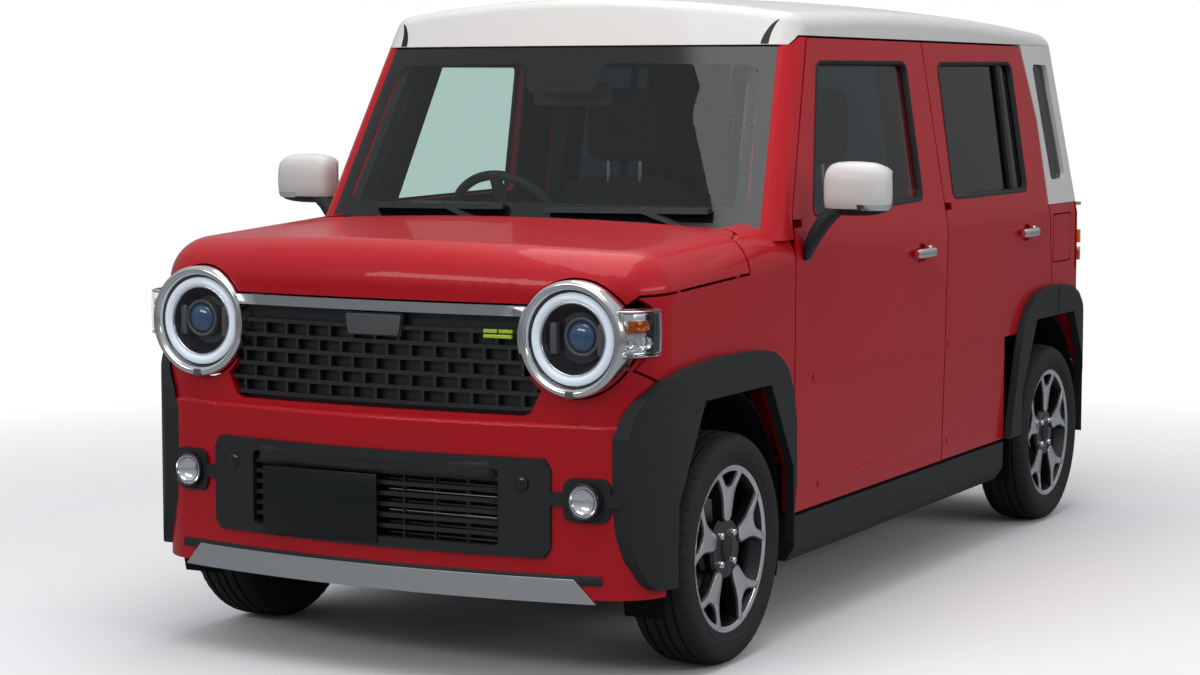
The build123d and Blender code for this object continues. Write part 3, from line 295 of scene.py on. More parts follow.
FINISHES = {
    "body_red": (paint, BODY_RED, 0.12, 0.42),
    "door_red": (lined_paint, 0.036),
    "frame_red": (lined_paint, 0.095),
    "roof_white": (paint, (0.69, 0.68, 0.66), 0.0, 0.4, 0.01),
    "chrome": (metal, (0.86, 0.87, 0.89), 0.07),
    "silver": (metal, (0.55, 0.56, 0.57), 0.32),
    "silver_ring": (metal, (0.70, 0.71, 0.72), 0.14),
    "reflector": (metal, (0.80, 0.81, 0.83), 0.12),
    "bright_wire": (metal, (0.5, 0.51, 0.52), 0.25),
    "mirror_glass": (metal, (0.8, 0.82, 0.84), 0.02),
    "alloy": (metal, (0.78, 0.79, 0.81), 0.22, 500),
    "dark_alloy": (metal, (0.05, 0.05, 0.052), 0.35),
    "brake_iron": (metal, (0.3, 0.3, 0.3), 0.35),
    "dark_steel": (metal, (0.09, 0.09, 0.095), 0.55),
    "exhaust_steel": (metal, (0.4, 0.39, 0.37), 0.4),
    "clear_glass": (window, (0.80, 0.87, 0.855), 1.45),
    "privacy_glass": (window, (0.10, 0.125, 0.14), 1.5),
    "cover_glass": (window, (0.97, 0.98, 0.99), 1.35),
    "amber": (window, (1.0, 0.62, 0.20), 1.5),
    "light_guide": (glowing, (0.80, 0.87, 0.94), 0.22),
    "black_plastic": (plastic, (0.017, 0.019, 0.021), 0.55, 1400, 0.0001, 0.3),
    "gloss_black": (plastic, (0.01, 0.01, 0.011), 0.12, 200, 0.00001),
    "tail_lens": (plastic, (0.62, 0.012, 0.008), 0.06, 120, 0.00001, 0.8),
    "amber_bulb": (plastic, (0.85, 0.22, 0.02), 0.25, 200, 0.00005),
    "blue_lens": (plastic, (0.02, 0.07, 0.16), 0.03, 60, 0.00001, 1.0),
    "bowl_black": (plastic, (0.012, 0.013, 0.016), 0.12, 200, 0.00001, 0.8),
    "panel_grey": (plastic, (0.085, 0.088, 0.092), 0.3, 400, 0.00003),
    "accent_green": (plastic, (0.42, 0.62, 0.03), 0.35, 400, 0.00003),
    "plate_dark": (plastic, (0.004, 0.006, 0.007), 0.28, 300, 0.00002, 0.35),
    "mesh_black": (plastic, (0.010, 0.011, 0.012), 0.45, 700, 0.00004),
    "seal_rubber": (plastic, (0.008, 0.0085, 0.009), 0.5, 900, 0.00003, 0.3),
    "frit": (plastic, (0.006, 0.008, 0.009), 0.12, 200, 0.000005),
    "liner_felt": (plastic, (0.008, 0.008, 0.009), 0.9, 500, 0.0003, 0.1),
    "tyre": (plastic, (0.02, 0.02, 0.021), 0.72, 260, 0.0002, 0.3),
    "body_steel": (plastic, (0.012, 0.012, 0.013), 0.6, 300, 0.00005, 0.25),
    "cabin_plastic": (plastic, (0.03, 0.03, 0.032), 0.6, 900, 0.0002),
    "seat_cloth": (plastic, (0.03, 0.031, 0.036), 0.95, 1200, 0.0004, 0.2),
}
finish = {name: make(name, *values) for name, (make, *values) in FINISHES.items()}
LINED = {f"door_{end}_{side}": "door_red" for end, y in ENDS for side, way in SIDES}
LINED["side_frames"] = "frame_red"


# ---------------------------------------------------------------- working helpers
def only(piece):
    """Selects one piece alone."""
    bpy.ops.object.select_all(action="DESELECT")
    piece.select_set(True)
    bpy.context.view_layer.objects.active = piece


def new_piece(name, primitive, **shape):
    """A named piece from one of Blender's primitives, at the origin."""
    bpy.ops.object.select_all(action="DESELECT")
    primitive(location=ORIGIN, **shape)
    piece = bpy.context.object
    piece.name = name
    return piece


def edited(piece, *steps):
    """Takes edit-mode steps on a piece, each an operator and its settings, with everything selected."""
    only(piece)
    bpy.ops.object.mode_set(mode="EDIT")
    for operator, settings in steps:
        bpy.ops.mesh.select_all(action="SELECT")
        operator(**settings)
    bpy.ops.object.mode_set(mode="OBJECT")
    return piece


WELDED = (bpy.ops.mesh.remove_doubles, {"threshold": WELD})
TURNED_OUT = (bpy.ops.mesh.normals_make_consistent, {"inside": False})
ENDS_FILLED = (bpy.ops.mesh.fill_holes, {"sides": 0})
FLATTENED = (bpy.ops.mesh.dissolve_limited, {"angle_limit": radians(0.4)})


def apply_modifiers(piece):
    """Applies what is on a piece's stack."""
    only(piece)
    for modifier in list(piece.modifiers):
        bpy.ops.object.modifier_apply(modifier=modifier.name)


def rounded(piece, width, segments=2, angle=30):
    """Rounds a piece's edges."""
    rounding = piece.modifiers.new("edges", "BEVEL")
    rounding.width = width
    rounding.segments = segments
    rounding.limit_method = "ANGLE"
    rounding.angle_limit = radians(angle)
    apply_modifiers(piece)


def weigh(piece):
    """Lets broad faces keep their own direction where they meet narrow rounded ones."""
    weighing = piece.modifiers.new("weights", "WEIGHTED_NORMAL")
    weighing.mode = "FACE_AREA_WITH_ANGLE"
    weighing.weight = 80
    weighing.keep_sharp = True
    apply_modifiers(piece)


def smoothed(piece, angle):
    """Shades a piece smooth where its faces meet at less than an angle."""
    only(piece)
    bpy.ops.object.shade_smooth_by_angle(angle=radians(angle))


def finished(piece, body, slot_name, replaced=(), smooth=32, material=None):
    """Smooths a piece, gives it its finish and hangs it on its body."""
    if smooth:
        smoothed(piece, smooth)
    piece.data.materials.clear()
    piece.data.materials.append(finish[material or slot_name])
    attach(piece, body)
    if replaced:
        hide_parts(*replaced)
    return piece


def cad_copy(node, name):
    """A copy of a CAD node that rides on nothing, with its flat faces merged."""
    piece = nodes[node].copy()
    piece.data = nodes[node].data.copy()
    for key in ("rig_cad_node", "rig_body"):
        if key in piece:
            del piece[key]
    piece.parent = None
    piece.name = name
    bpy.context.scene.collection.objects.link(piece)
    piece.hide_viewport = piece.hide_render = False
    piece.hide_set(False)
    return edited(piece, WELDED, FLATTENED)


def dressed(node, edge=0.0015, segments=2, material=None):
    """A CAD node's skin with rounded edges and smooth shading, in its finish."""
    piece = cad_copy(node, f"{node}_skin")
    rounded(piece, edge, segments, 32)
    smoothed(piece, 32)
    weigh(piece)
    finished(piece, body_of_node[node], slot_of[node], (node,), None, material or LINED.get(node))


def placed(axis, along, first, second):
    """A point from its place along the X or Y axis and its two places across it."""
    return (along, first, second) if axis == "X" else (first, along, second)


def outline_piece(name, points, axis, base, thickness):
    """A flat outline drawn across an axis and pulled out along it."""
    circle = {"vertices": len(points), "radius": 1, "fill_type": "NGON"}
    piece = new_piece(name, bpy.ops.mesh.primitive_circle_add, **circle)
    for vertex, (first, second) in zip(piece.data.vertices, points):
        vertex.co = placed(axis, base, first, second)
    pull = {"TRANSFORM_OT_translate": {"value": placed(axis, thickness, 0, 0)}}
    return edited(piece, (bpy.ops.mesh.extrude_region_move, pull), TURNED_OUT)


def spun_piece(name, profile, centre, axis, steps, closed=False):
    """A profile of (radius, along) points turned once round an axis through a centre."""
    circle = {"vertices": len(profile), "radius": 1, "fill_type": "NOTHING"}
    piece = new_piece(name, bpy.ops.mesh.primitive_circle_add, **circle)
    for vertex, (radius, along) in zip(piece.data.vertices, profile):
        vertex.co = [middle + step for middle, step in zip(centre, placed(axis, along, 0, radius))]
    if not closed:
        bpy.ops.object.mode_set(mode="EDIT")
        bpy.ops.mesh.select_all(action="DESELECT")
        bpy.ops.object.mode_set(mode="OBJECT")
        for edge in piece.data.edges:
            edge.select = set(edge.vertices) == {0, len(profile) - 1}
        bpy.ops.object.mode_set(mode="EDIT")
        bpy.ops.mesh.select_mode(type="EDGE")
        bpy.ops.mesh.delete(type="EDGE_FACE")
        bpy.ops.mesh.select_mode(type="VERT")
        bpy.ops.object.mode_set(mode="OBJECT")
    turn = {"steps": steps, "angle": 2 * pi, "center": centre, "axis": placed(axis, 1, 0, 0)}
    return edited(piece, (bpy.ops.mesh.spin, turn), WELDED, TURNED_OUT)


def merged(name, pieces):
    """Several pieces as one mesh."""
    only(pieces[0])
    for piece in pieces:
        piece.select_set(True)
    bpy.ops.object.join()
    pieces[0].name = name
    return pieces[0]


def copied(piece, name, matrix):
    """A copy with its own mesh, moved or mirrored by a matrix."""
    copy = piece.copy()
    copy.data = piece.data.copy()
    copy.name = name
    bpy.context.scene.collection.objects.link(copy)
    copy.data.transform(matrix)
    if matrix.determinant() < 0:
        copy.data.flip_normals()
    return copy


def lofted(name, rings, closed=False):
    """A skin over rings of points, each closed, with flat ends unless the row of rings closes too."""
    rows = list(rings) + ([rings[0]] if closed else [])
    count = len(rows[0])
    grid = {"x_subdivisions": count, "y_subdivisions": len(rows) - 1, "size": 1}
    piece = new_piece(name, bpy.ops.mesh.primitive_grid_add, **grid)
    for index, vertex in enumerate(piece.data.vertices):
        row, place = divmod(index, count + 1)
        vertex.co = rows[row][place % count]
    return edited(piece, WELDED, *(() if closed else (ENDS_FILLED,)), TURNED_OUT)


def block(name, low, high, edge=0.002, segments=2):
    """A box between two corners with rounded edges."""
    piece = new_piece(name, bpy.ops.mesh.primitive_cube_add, size=1)
    middle = [(a + b) / 2 for a, b in zip(low, high)]
    sizes = [b - a for a, b in zip(low, high)]
    for vertex in piece.data.vertices:
        vertex.co = [m + c * s for m, c, s in zip(middle, vertex.co, sizes)]
    if edge:
        rounded(piece, edge, segments)
    return piece


def both(piece, body_of_side, slot_name, replaced=None, smooth=32, material=None):
    """A left piece and its mirror image, each on its own side's body."""
    other = copied(piece, f"{piece.name}_right", MIRROR)
    piece.name = f"{piece.name}_left"
    for one, side in ((piece, "left"), (other, "right")):
        names = [replaced.format(side=side)] if replaced else []
        finished(one, body_of_side.format(side=side), slot_name, names, smooth, material)


def cut_by(piece, tool, operation):
    """A piece less a tool, or only what lies in it; the tool is used up."""
    step = piece.modifiers.new("cut", "BOOLEAN")
    step.operation = operation
    step.solver = "EXACT"
    step.object = tool
    apply_modifiers(piece)
    bpy.data.objects.remove(tool)


def cut_flat(piece, place, normal, keep_above):
    """A piece cut by a plane, with the part above or below it kept and closed."""
    plane = {"plane_co": place, "plane_no": normal, "use_fill": True}
    ends = {"clear_inner": keep_above, "clear_outer": not keep_above}
    return edited(piece, (bpy.ops.mesh.bisect, plane | ends))


def part_of(node, name, wanted):
    """The solids of a CAD node whose middle is wanted, as a merged copy."""
    piece = cad_copy(node, name)
    mesh = bmesh.new()
    mesh.from_mesh(piece.data)
    seen, unwanted = set(), []
    for start in mesh.verts:
        if start in seen:
            continue
        island, stack = [], [start]
        seen.add(start)
        while stack:
            vertex = stack.pop()
            island.append(vertex)
            for edge in vertex.link_edges:
                other = edge.other_vert(vertex)
                if other not in seen:
                    seen.add(other)
                    stack.append(other)
        low = [min(vertex.co[k] for vertex in island) for k in range(3)]
        high = [max(vertex.co[k] for vertex in island) for k in range(3)]
        if not wanted(Vector([(a + b) / 2 for a, b in zip(low, high)])):
            unwanted += island
    bmesh.ops.delete(mesh, geom=unwanted, context="VERTS")
    mesh.to_mesh(piece.data)
    mesh.free()
    return piece


surfaces = {}


def struck(node, origin, direction):
    """The first point where a line meets a CAD node, or None."""
    if node not in surfaces:
        mesh = nodes[node].data
        faces = [tuple(face.vertices) for face in mesh.polygons]
        surfaces[node] = BVHTree.FromPolygons([vertex.co for vertex in mesh.vertices], faces)
    return surfaces[node].ray_cast(Vector(origin), Vector(direction))[0]


def front_y(node, x, z):
    """How far forward a front panel lies at a place seen from ahead."""
    return struck(node, (x, -3, z), (0, 1, 0)).y


def rear_y(x, z):
    """How far back the tailgate lies at a place seen from behind."""
    return struck("tailgate", (x, 3, z), (0, -1, 0)).y


def spread(count, start=0.0, end=1.0):
    """Evenly spaced numbers from start to end."""
    return [start + (end - start) * i / (count - 1) for i in range(count)]


def softened(points, radius, steps=5):
    """A closed outline with its corners turned into curves."""
    path = []
    count = len(points)
    for i, corner in enumerate(points):
        corner = Vector(corner)
        before, after = Vector(points[i - 1]) - corner, Vector(points[(i + 1) % count]) - corner
        reach = min(radius, before.length * 0.45, after.length * 0.45)
        start, end = corner + before.normalized() * reach, corner + after.normalized() * reach
        for k in range(steps + 1):
            t = k / steps
            path.append(start * (1 - t) ** 2 + corner * 2 * t * (1 - t) + end * t ** 2)
    return path


def spaced(path, gap_length):
    """A closed outline with extra points, so that none lies further than a gap from the next."""
    filled = []
    for i, point in enumerate(path):
        following = path[(i + 1) % len(path)]
        parts = max(int((following - point).length / gap_length), 1)
        filled += [point.lerp(following, k / parts) for k in range(parts)]
    return filled


def outward(path):
    """The outward normals of a closed outline."""
    area = sum(path[i - 1].x * path[i].y - path[i].x * path[i - 1].y for i in range(len(path)))
    turn = 1 if area > 0 else -1
    normals = []
    for i in range(len(path)):
        along = (path[(i + 1) % len(path)] - path[i - 1]).normalized()
        normals.append(Vector((along.y * turn, -along.x * turn)))
    return normals


def seal(name, outline, corner, section, surface):
    """A moulding laid round a closed outline on a surface; its section is (outward, proud) points."""
    path = spaced(softened(outline, corner), 0.03)
    rings = []
    for point, away in zip(path, outward(path)):
        rings.append([surface(*(point + away * out), proud) for out, proud in section])
    return lofted(name, rings, closed=True)


def oval(x_mid, y_mid, half_x, half_y, power, count):
    """A rounded-square section, as pairs of points."""
    points = []
    for k in range(count):
        c, s = cos(2 * pi * k / count), sin(2 * pi * k / count)
        points.append((
            x_mid + half_x * abs(c) ** (2 / power) * (1 if c > 0 else -1),
            y_mid + half_y * abs(s) ** (2 / power) * (1 if s > 0 else -1),
        ))
    return points


# ---------------------------------------------------------------- wheels
# the tyre's section, (radius, along the axle), from the middle of the tread to the bead
tyre_half = [
    (0.2880, 0.0000), (0.2880, 0.0085), (0.2815, 0.0095), (0.2815, 0.0155), (0.2877, 0.0165),
    (0.2869, 0.0385), (0.2800, 0.0395), (0.2800, 0.0455), (0.2862, 0.0465), (0.2848, 0.0560),
    (0.2815, 0.0650), (0.2765, 0.0722), (0.2700, 0.0775), (0.2620, 0.0806), (0.2500, 0.0820),
    (0.2380, 0.0812), (0.2290, 0.0790), (0.2270, 0.0800), (0.2235, 0.0785), (0.2200, 0.0760),
    (0.2160, 0.0745), (0.2120, 0.0738), (0.2085, 0.0722), (0.2068, 0.0700), (0.2060, 0.0640),
    (0.1915, 0.0595),
]
tyre_section = tyre_half[::-1] + [(radius, -along) for radius, along in tyre_half[1:]]
# one forked spoke's bright face, right half, (across, out from the hub)
spoke_half = [
    (0.0000, 0.0690), (0.0120, 0.0715), (0.0190, 0.0790), (0.0215, 0.0900), (0.0270, 0.1180),
    (0.0325, 0.1360), (0.0450, 0.1560), (0.0640, 0.1780), (0.0755, 0.1850), (0.0520, 0.1925),
    (0.0370, 0.1740), (0.0230, 0.1590), (0.0090, 0.1535), (0.0000, 0.1530),
]
spoke_face = spoke_half + [(-across, out) for across, out in spoke_half[-2:0:-1]]
TREAD_STEPS, STEPS_PER_BLOCK = 240, 4
TREAD_EDGE, SIDEWALL_TOP, SHOULDER = 0.047, 0.268, 0.28  # across the tyre, and two radii
SPOKE_WALL = 0.0055  # how far the dark spoke stands out round its bright face
NUT_AT = 0.0354


def turned_copies(piece, count, name):
    """Copies set evenly round the axle, as one mesh."""
    turns = [Matrix.Rotation(2 * pi * i / count, 4, "X") for i in range(1, count)]
    return merged(name, [piece] + [copied(piece, name, turn) for turn in turns])


def make_wheel():
    """A left wheel about the origin: tyre, barrel, forked spokes with bright faces, cap, nuts and brake."""
    tyre = spun_piece("tyre", tyre_section, ORIGIN, "X", TREAD_STEPS)
    for vertex in tyre.data.vertices:
        radius = hypot(vertex.co.y, vertex.co.z)
        if abs(vertex.co.x) < TREAD_EDGE or radius < SIDEWALL_TOP:
            continue
        place = atan2(vertex.co.z, vertex.co.y) / (2 * pi) * TREAD_STEPS
        if round(place + (2 if vertex.co.x > 0 else 0)) % STEPS_PER_BLOCK == 0:
            depth = 0.0045 if radius > SHOULDER else 0.0025
            vertex.co.y *= (radius - depth) / radius
            vertex.co.z *= (radius - depth) / radius
    barrel = spun_piece("barrel", [
        (0.2050, -0.0650), (0.1905, -0.0600), (0.1780, -0.0500), (0.1700, 0.0150), (0.1840, 0.0480),
        (0.1895, 0.0600), (0.1925, 0.0655), (0.1965, 0.0655), (0.1990, 0.0630), (0.1905, 0.0585),
        (0.1900, 0.0500), (0.1780, 0.0150), (0.1860, -0.0480), (0.1900, -0.0560),
    ], ORIGIN, "X", 96, closed=True)
    lip = spun_piece("lip", [
        (0.1925, 0.0600), (0.1925, 0.0668), (0.1945, 0.0682), (0.2010, 0.0690), (0.2050, 0.0705),
        (0.2064, 0.0700), (0.2064, 0.0640), (0.1990, 0.0620),
    ], ORIGIN, "X", 128, closed=True)
    wall = []
    for i, (across, out) in enumerate(spoke_face):
        before, after = Vector(spoke_face[i - 1]), Vector(spoke_face[(i + 1) % len(spoke_face)])
        along = (after - before).normalized()
        wall.append((across + along.y * SPOKE_WALL, out - along.x * SPOKE_WALL))
    spoke = outline_piece("spoke", wall, "X", 0.030, 0.0300)
    rounded(spoke, 0.003, 3, 50)
    face = outline_piece("spoke_face", spoke_face, "X", 0.0560, 0.0062)
    rounded(face, 0.0006, 2, 50)
    for piece in (spoke, face):
        for vertex in piece.data.vertices:
            reach = hypot(vertex.co.y, vertex.co.z)
            vertex.co.x += 0.0065 * min(max((reach - 0.07) / 0.12, 0), 1) ** 2
    spokes = turned_copies(spoke, 5, "spokes")
    faces = turned_copies(face, 5, "spoke_faces")
    hub = spun_piece("hub", [
        (0.0001, 0.0250), (0.0660, 0.0250), (0.0790, 0.0330), (0.0800, 0.0500), (0.0720, 0.0575),
        (0.0420, 0.0560), (0.0330, 0.0590), (0.0310, 0.0575), (0.0001, 0.0575),
    ], ORIGIN, "X", 64)
    cap = spun_piece("cap", [
        (0.0001, 0.0560), (0.0300, 0.0560), (0.0305, 0.0600), (0.0280, 0.0620), (0.0150, 0.0630),
        (0.0001, 0.0632),
    ], ORIGIN, "X", 48)
    nut = spun_piece("nut", [
        (0.0001, 0.0500), (0.0095, 0.0500), (0.0095, 0.0630), (0.0080, 0.0660), (0.0050, 0.0675),
        (0.0001, 0.0680),
    ], (0, NUT_AT, NUT_AT), "X", 18)
    nuts = turned_copies(nut, 4, "nuts")
    disc = spun_piece("disc", [
        (0.0600, -0.0060), (0.1180, -0.0060), (0.1180, 0.0040), (0.0600, 0.0040),
    ], ORIGIN, "X", 96, closed=True)
    return [
        (tyre, "tyre", "tyre"), (barrel, "dark_alloy", "alloy"), (lip, "alloy", "alloy"),
        (spokes, "gloss_black", "gloss_black"), (faces, "alloy", "alloy"),
        (hub, "gloss_black", "gloss_black"), (cap, "black_plastic", "black_plastic"),
        (nuts, "chrome", "chrome"), (disc, "brake_iron", "dark_steel"),
    ]


wheel_kit = make_wheel()
for end, axle_y in ENDS:
    for side, way in SIDES:
        place = Matrix.Translation((way * WHEEL_X, axle_y, HUB_Z))
        if way < 0:
            place = place @ MIRROR
        for piece, material, slot_name in wheel_kit:
            node = f"tyre_{end}_{side}" if slot_name == "tyre" else f"rim_{end}_{side}"
            own = copied(piece, f"{piece.name}_{end}_{side}", place)
            finished(own, f"wheel_{end}_{side}", slot_name, (node,), 35, material)
for piece, material, slot_name in wheel_kit:
    bpy.data.objects.remove(piece)

# ---------------------------------------------------------------- headlamps
LAMP = (0.530, -1.628, 0.838)


def ring_of(name, centre, steps, inner, outer, back, front, soft):
    """A turned ring with a rounded front."""
    return spun_piece(name, [
        (inner, back), (inner, front + soft), (inner + soft * 0.4, front + soft * 0.3),
        (inner + soft, front), (outer - soft, front), (outer - soft * 0.35, front + soft * 0.35),
        (outer, front + soft), (outer, back),
    ], centre, "Y", steps, closed=True)


def lamp_block(name, low, high, edge):
    """A rounded box between two corners that are given from the middle of the lamp."""
    return block(name, [a + b for a, b in zip(LAMP, low)], [a + b for a, b in zip(LAMP, high)], edge)


def make_headlamp():
    """A left round lamp: bezel, light ring, dark bowl, projector and cover."""
    bezel = ring_of("bezel", LAMP, 96, 0.1165, 0.138, 0.048, -0.029, 0.0085)
    trench = ring_of("trench", LAMP, 96, 0.109, 0.1165, 0.048, -0.010, 0.001)
    guide = ring_of("guide", LAMP, 96, 0.089, 0.1088, 0.030, -0.0185, 0.007)
    inner_bezel = ring_of("inner_bezel", LAMP, 96, 0.083, 0.089, 0.030, -0.012, 0.002)
    bowl = spun_piece("bowl", [
        (0.0830, -0.0060), (0.0790, 0.0040), (0.0700, 0.0200), (0.0600, 0.0300), (0.0001, 0.0330),
        (0.0001, 0.0400), (0.0830, 0.0400),
    ], LAMP, "Y", 64)
    eye_at = (LAMP[0] + 0.013, LAMP[1] + 0.012, LAMP[2] + 0.005)
    shroud = ring_of("shroud", eye_at, 48, 0.038, 0.047, 0.034, -0.004, 0.003)
    eye = spun_piece("eye", [
        (0.0380, 0.0100), (0.0370, 0.0010), (0.0330, -0.0050), (0.0260, -0.0100), (0.0160, -0.0135),
        (0.0070, -0.0150), (0.0001, -0.0152),
    ], eye_at, "Y", 48)
    blades = []
    for low, high in ((-0.070, -0.052), (0.056, 0.074)):
        blades.append(lamp_block("blade", (low, 0.004, -0.038), (high, 0.026, 0.036), 0.003))
    cover = spun_piece("cover", [
        (0.1165, -0.0130), (0.1100, -0.0205), (0.0900, -0.0240), (0.0600, -0.0262), (0.0300, -0.0274),
        (0.0001, -0.0278),
    ], LAMP, "Y", 96)
    notch = lamp_block("notch", (-0.011, -0.0305, -0.1375), (0.011, -0.004, -0.1195), 0.002)
    both(bezel, "root", "chrome", None, 40, "silver_ring")
    for piece, material in (
        (trench, "bowl_black"), (guide, "light_guide"), (inner_bezel, "reflector"), (bowl, "bowl_black"),
        (shroud, "panel_grey"), (eye, "blue_lens"), (merged("blades", blades), "panel_grey"),
        (cover, "cover_glass"),
    ):
        both(piece, "root", "lamp_lens", None, 40, material)
    both(notch, "root", "chrome", None, 40, "panel_grey")


make_headlamp()
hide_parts("front_lamps")

# ---------------------------------------------------------------- side lamps
# the lamp's plan, (across, along), from inside the round lamp's rim to the wing
side_plan = [
    (0.652, -1.6440), (0.664, -1.6425), (0.676, -1.6380), (0.687, -1.6300), (0.6965, -1.6185),
    (0.7035, -1.6045), (0.7085, -1.5890), (0.7110, -1.5720), (0.7120, -1.5560), (0.7115, -1.5440),
]


def side_strip(name, inset, thick, low, high, first, last):
    """A strip that follows part of the plan, `inset` behind the cover's face."""
    path = [Vector(point) for point in side_plan][first:last]
    crown = -0.002 if high - low > 0.05 else 0.0
    section = [
        (thick, low), (thick * 0.35, low), (0.0, low + 0.003), (crown, (low + high) / 2),
        (0.0, high - 0.003), (thick * 0.35, high), (thick, high),
    ]
    rings = []
    for i, point in enumerate(path):
        ahead, behind = path[min(i + 1, len(path) - 1)], path[max(i - 1, 0)]
        along = (ahead - behind).normalized()
        out = Vector((-along.y, along.x)) * (-1 if -along.y < 0 else 1)
        rings.append([Vector((*(point - out * (inset + depth)), height)) for depth, height in section])
    return lofted(name, rings)


# name, inset, thickness, low, high, first and last points of the plan, finish
SIDE_LAMP = [
    ("side_cover", 0.0, 0.003, 0.8060, 0.9030, 0, 9, "cover_glass"),
    ("side_rim_top", -0.001, 0.016, 0.9030, 0.9105, 0, None, "silver_ring"),
    ("side_rim_low", -0.001, 0.016, 0.7985, 0.8060, 0, None, "silver_ring"),
    ("side_rim_rear", -0.001, 0.016, 0.8055, 0.9035, 8, None, "silver_ring"),
    ("side_post", 0.004, 0.010, 0.8080, 0.9010, 7, 9, "bowl_black"),
    ("side_amber", 0.0075, 0.003, 0.8560, 0.8860, 2, 8, "amber"),
    ("side_bright", 0.018, 0.003, 0.8040, 0.9050, 0, 9, "reflector"),
    ("side_back", 0.022, 0.012, 0.7960, 0.9130, 0, None, "bowl_black"),
]
for name, inset, thick, low, high, first, last, material in SIDE_LAMP:
    both(side_strip(name, inset, thick, low, high, first, last), "root", "lamp_lens", None, 40, material)
# x, y, z, radius and turn of the small reflectors behind the side cover
SIDE_CUPS = [
    (0.6765, -1.6290, 0.832, 0.0155, -60), (0.6900, -1.6090, 0.832, 0.0150, -38),
    (0.6975, -1.5850, 0.832, 0.0140, -16), (0.6830, -1.6200, 0.871, 0.0120, -60),
    (0.6950, -1.5960, 0.871, 0.0120, -38),
]
for x, y, z, radius, turn in SIDE_CUPS:
    cup = spun_piece("side_cup", [
        (radius, 0.0), (radius * 0.93, -0.001), (radius * 0.75, -0.006), (radius * 0.4, -0.010),
        (0.0001, -0.0115),
    ], ORIGIN, "X", 20)
    cup.data.transform(Matrix.Translation((x, y, z)) @ Matrix.Rotation(radians(turn), 4, "Z"))
    both(cup, "root", "lamp_lens", None, 60, "reflector")

# ---------------------------------------------------------------- fog lamps and trim bar
FOG_X, FOG_Z = 0.565, 0.462
fog_at = (FOG_X, front_y("front_lamps", FOG_X, FOG_Z), FOG_Z)
fog_bowl = spun_piece("fog_bowl", [
    (0.0385, 0.0000), (0.0360, 0.0060), (0.0280, 0.0140), (0.0150, 0.0190), (0.0001, 0.0210),
    (0.0001, 0.0260), (0.0385, 0.0260),
], fog_at, "Y", 40)
fog_cover = spun_piece("fog_cover", [
    (0.0390, -0.0005), (0.0300, -0.0040), (0.0150, -0.0060), (0.0001, -0.0066),
], fog_at, "Y", 40)
fog_rim = ring_of("fog_rim", fog_at, 40, 0.0385, 0.0435, 0.020, -0.008, 0.002)
both(fog_bowl, "root", "lamp_lens", None, 60, "reflector")
both(fog_cover, "root", "lamp_lens", None, 60, "cover_glass")
both(fog_rim, "root", "black_plastic", None, 40, "gloss_black")

trim_bar = part_of("front_trim", "trim_bar", lambda middle: True)
cut_by(trim_bar, block("keeper", (-0.412, -2, 0.80), (0.412, -1.4, 0.95), 0), "INTERSECT")
finished(trim_bar, "root", "chrome", ("front_trim",), 30, "silver_ring")

# ---------------------------------------------------------------- grille
SENSOR = [(-0.079, 0.878), (0.079, 0.878), (0.071, 0.829), (-0.071, 0.829)]
sensor = outline_piece("sensor", [tuple(point) for point in softened(SENSOR, 0.008)], "Y", 0, 0.003)
sensor_y = front_y("grille", 0, 0.85)
for vertex in sensor.data.vertices:
    vertex.co.y += sensor_y - 0.0032
rounded(sensor, 0.0006)
finished(sensor, "root", "gloss_black", (), 30, "panel_grey")
ACCENTS = ((0.297, 0.845, 0.036), (0.337, 0.845, 0.036), (0.297, 0.833, 0.076))  # x, z, width
accents = []
for x, z, wide in ACCENTS:
    y = front_y("grille", x, 0.848)
    accents.append(block("accent", (x, y - 0.004, z), (x + wide, y + 0.006, z + 0.0085), 0.001))
finished(merged("accents", accents), "root", "gloss_black", (), 30, "accent_green")
dressed("grille", 0.002, material="mesh_black")

# ---------------------------------------------------------------- lower guard, number plate and skid bar
dressed("lower_guard", 0.003, 3)
BEAM_HALF, BEAM_LOW, BEAM_END = 0.352, 0.497, 0.02
BEAM_SECTION = [
    (0.000, 0.000), (-0.006, 0.010), (-0.006, 0.040), (0.001, 0.052), (0.020, 0.056), (0.030, 0.052),
    (0.030, 0.000),
]
beam_rings = []
for x in spread(25, -BEAM_HALF, BEAM_HALF):
    bow = 0.016 * (x / BEAM_HALF) ** 2
    back = -1.6895 + bow + 0.030 * max((abs(x) - BEAM_HALF + BEAM_END) / BEAM_END, 0) ** 2
    beam_rings.append([Vector((x, back + y, BEAM_LOW + z)) for y, z in BEAM_SECTION])
beam = lofted("guard_beam", beam_rings)
rounded(beam, 0.003, 3)
finished(beam, "root", "black_plastic")
for way in (-1, 1):
    x, z = way * 0.410, 0.497
    cap = spun_piece("bolt_cap", [
        (0.0001, -0.007), (0.012, -0.0065), (0.0165, -0.003), (0.0175, 0.004), (0.0001, 0.004),
    ], (x, front_y("lower_guard", x, z), z), "Y", 24)
    finished(cap, "root", "black_plastic", (), 40, "gloss_black")

PLATE_HALF_X, PLATE_HALF_Z, PLATE_THICK = 0.165, 0.0825, 0.0035
FRONT_PLATE_X, FRONT_PLATE_Z, REAR_PLATE_Z = -0.137, 0.4135, 0.6255


def number_plate(name, x, near_y, z):
    """A blank plate with its nearer face at a place along the car."""
    low = (x - PLATE_HALF_X, near_y, z - PLATE_HALF_Z)
    high = (x + PLATE_HALF_X, near_y + PLATE_THICK, z + PLATE_HALF_Z)
    return block(name, low, high, 0.001)


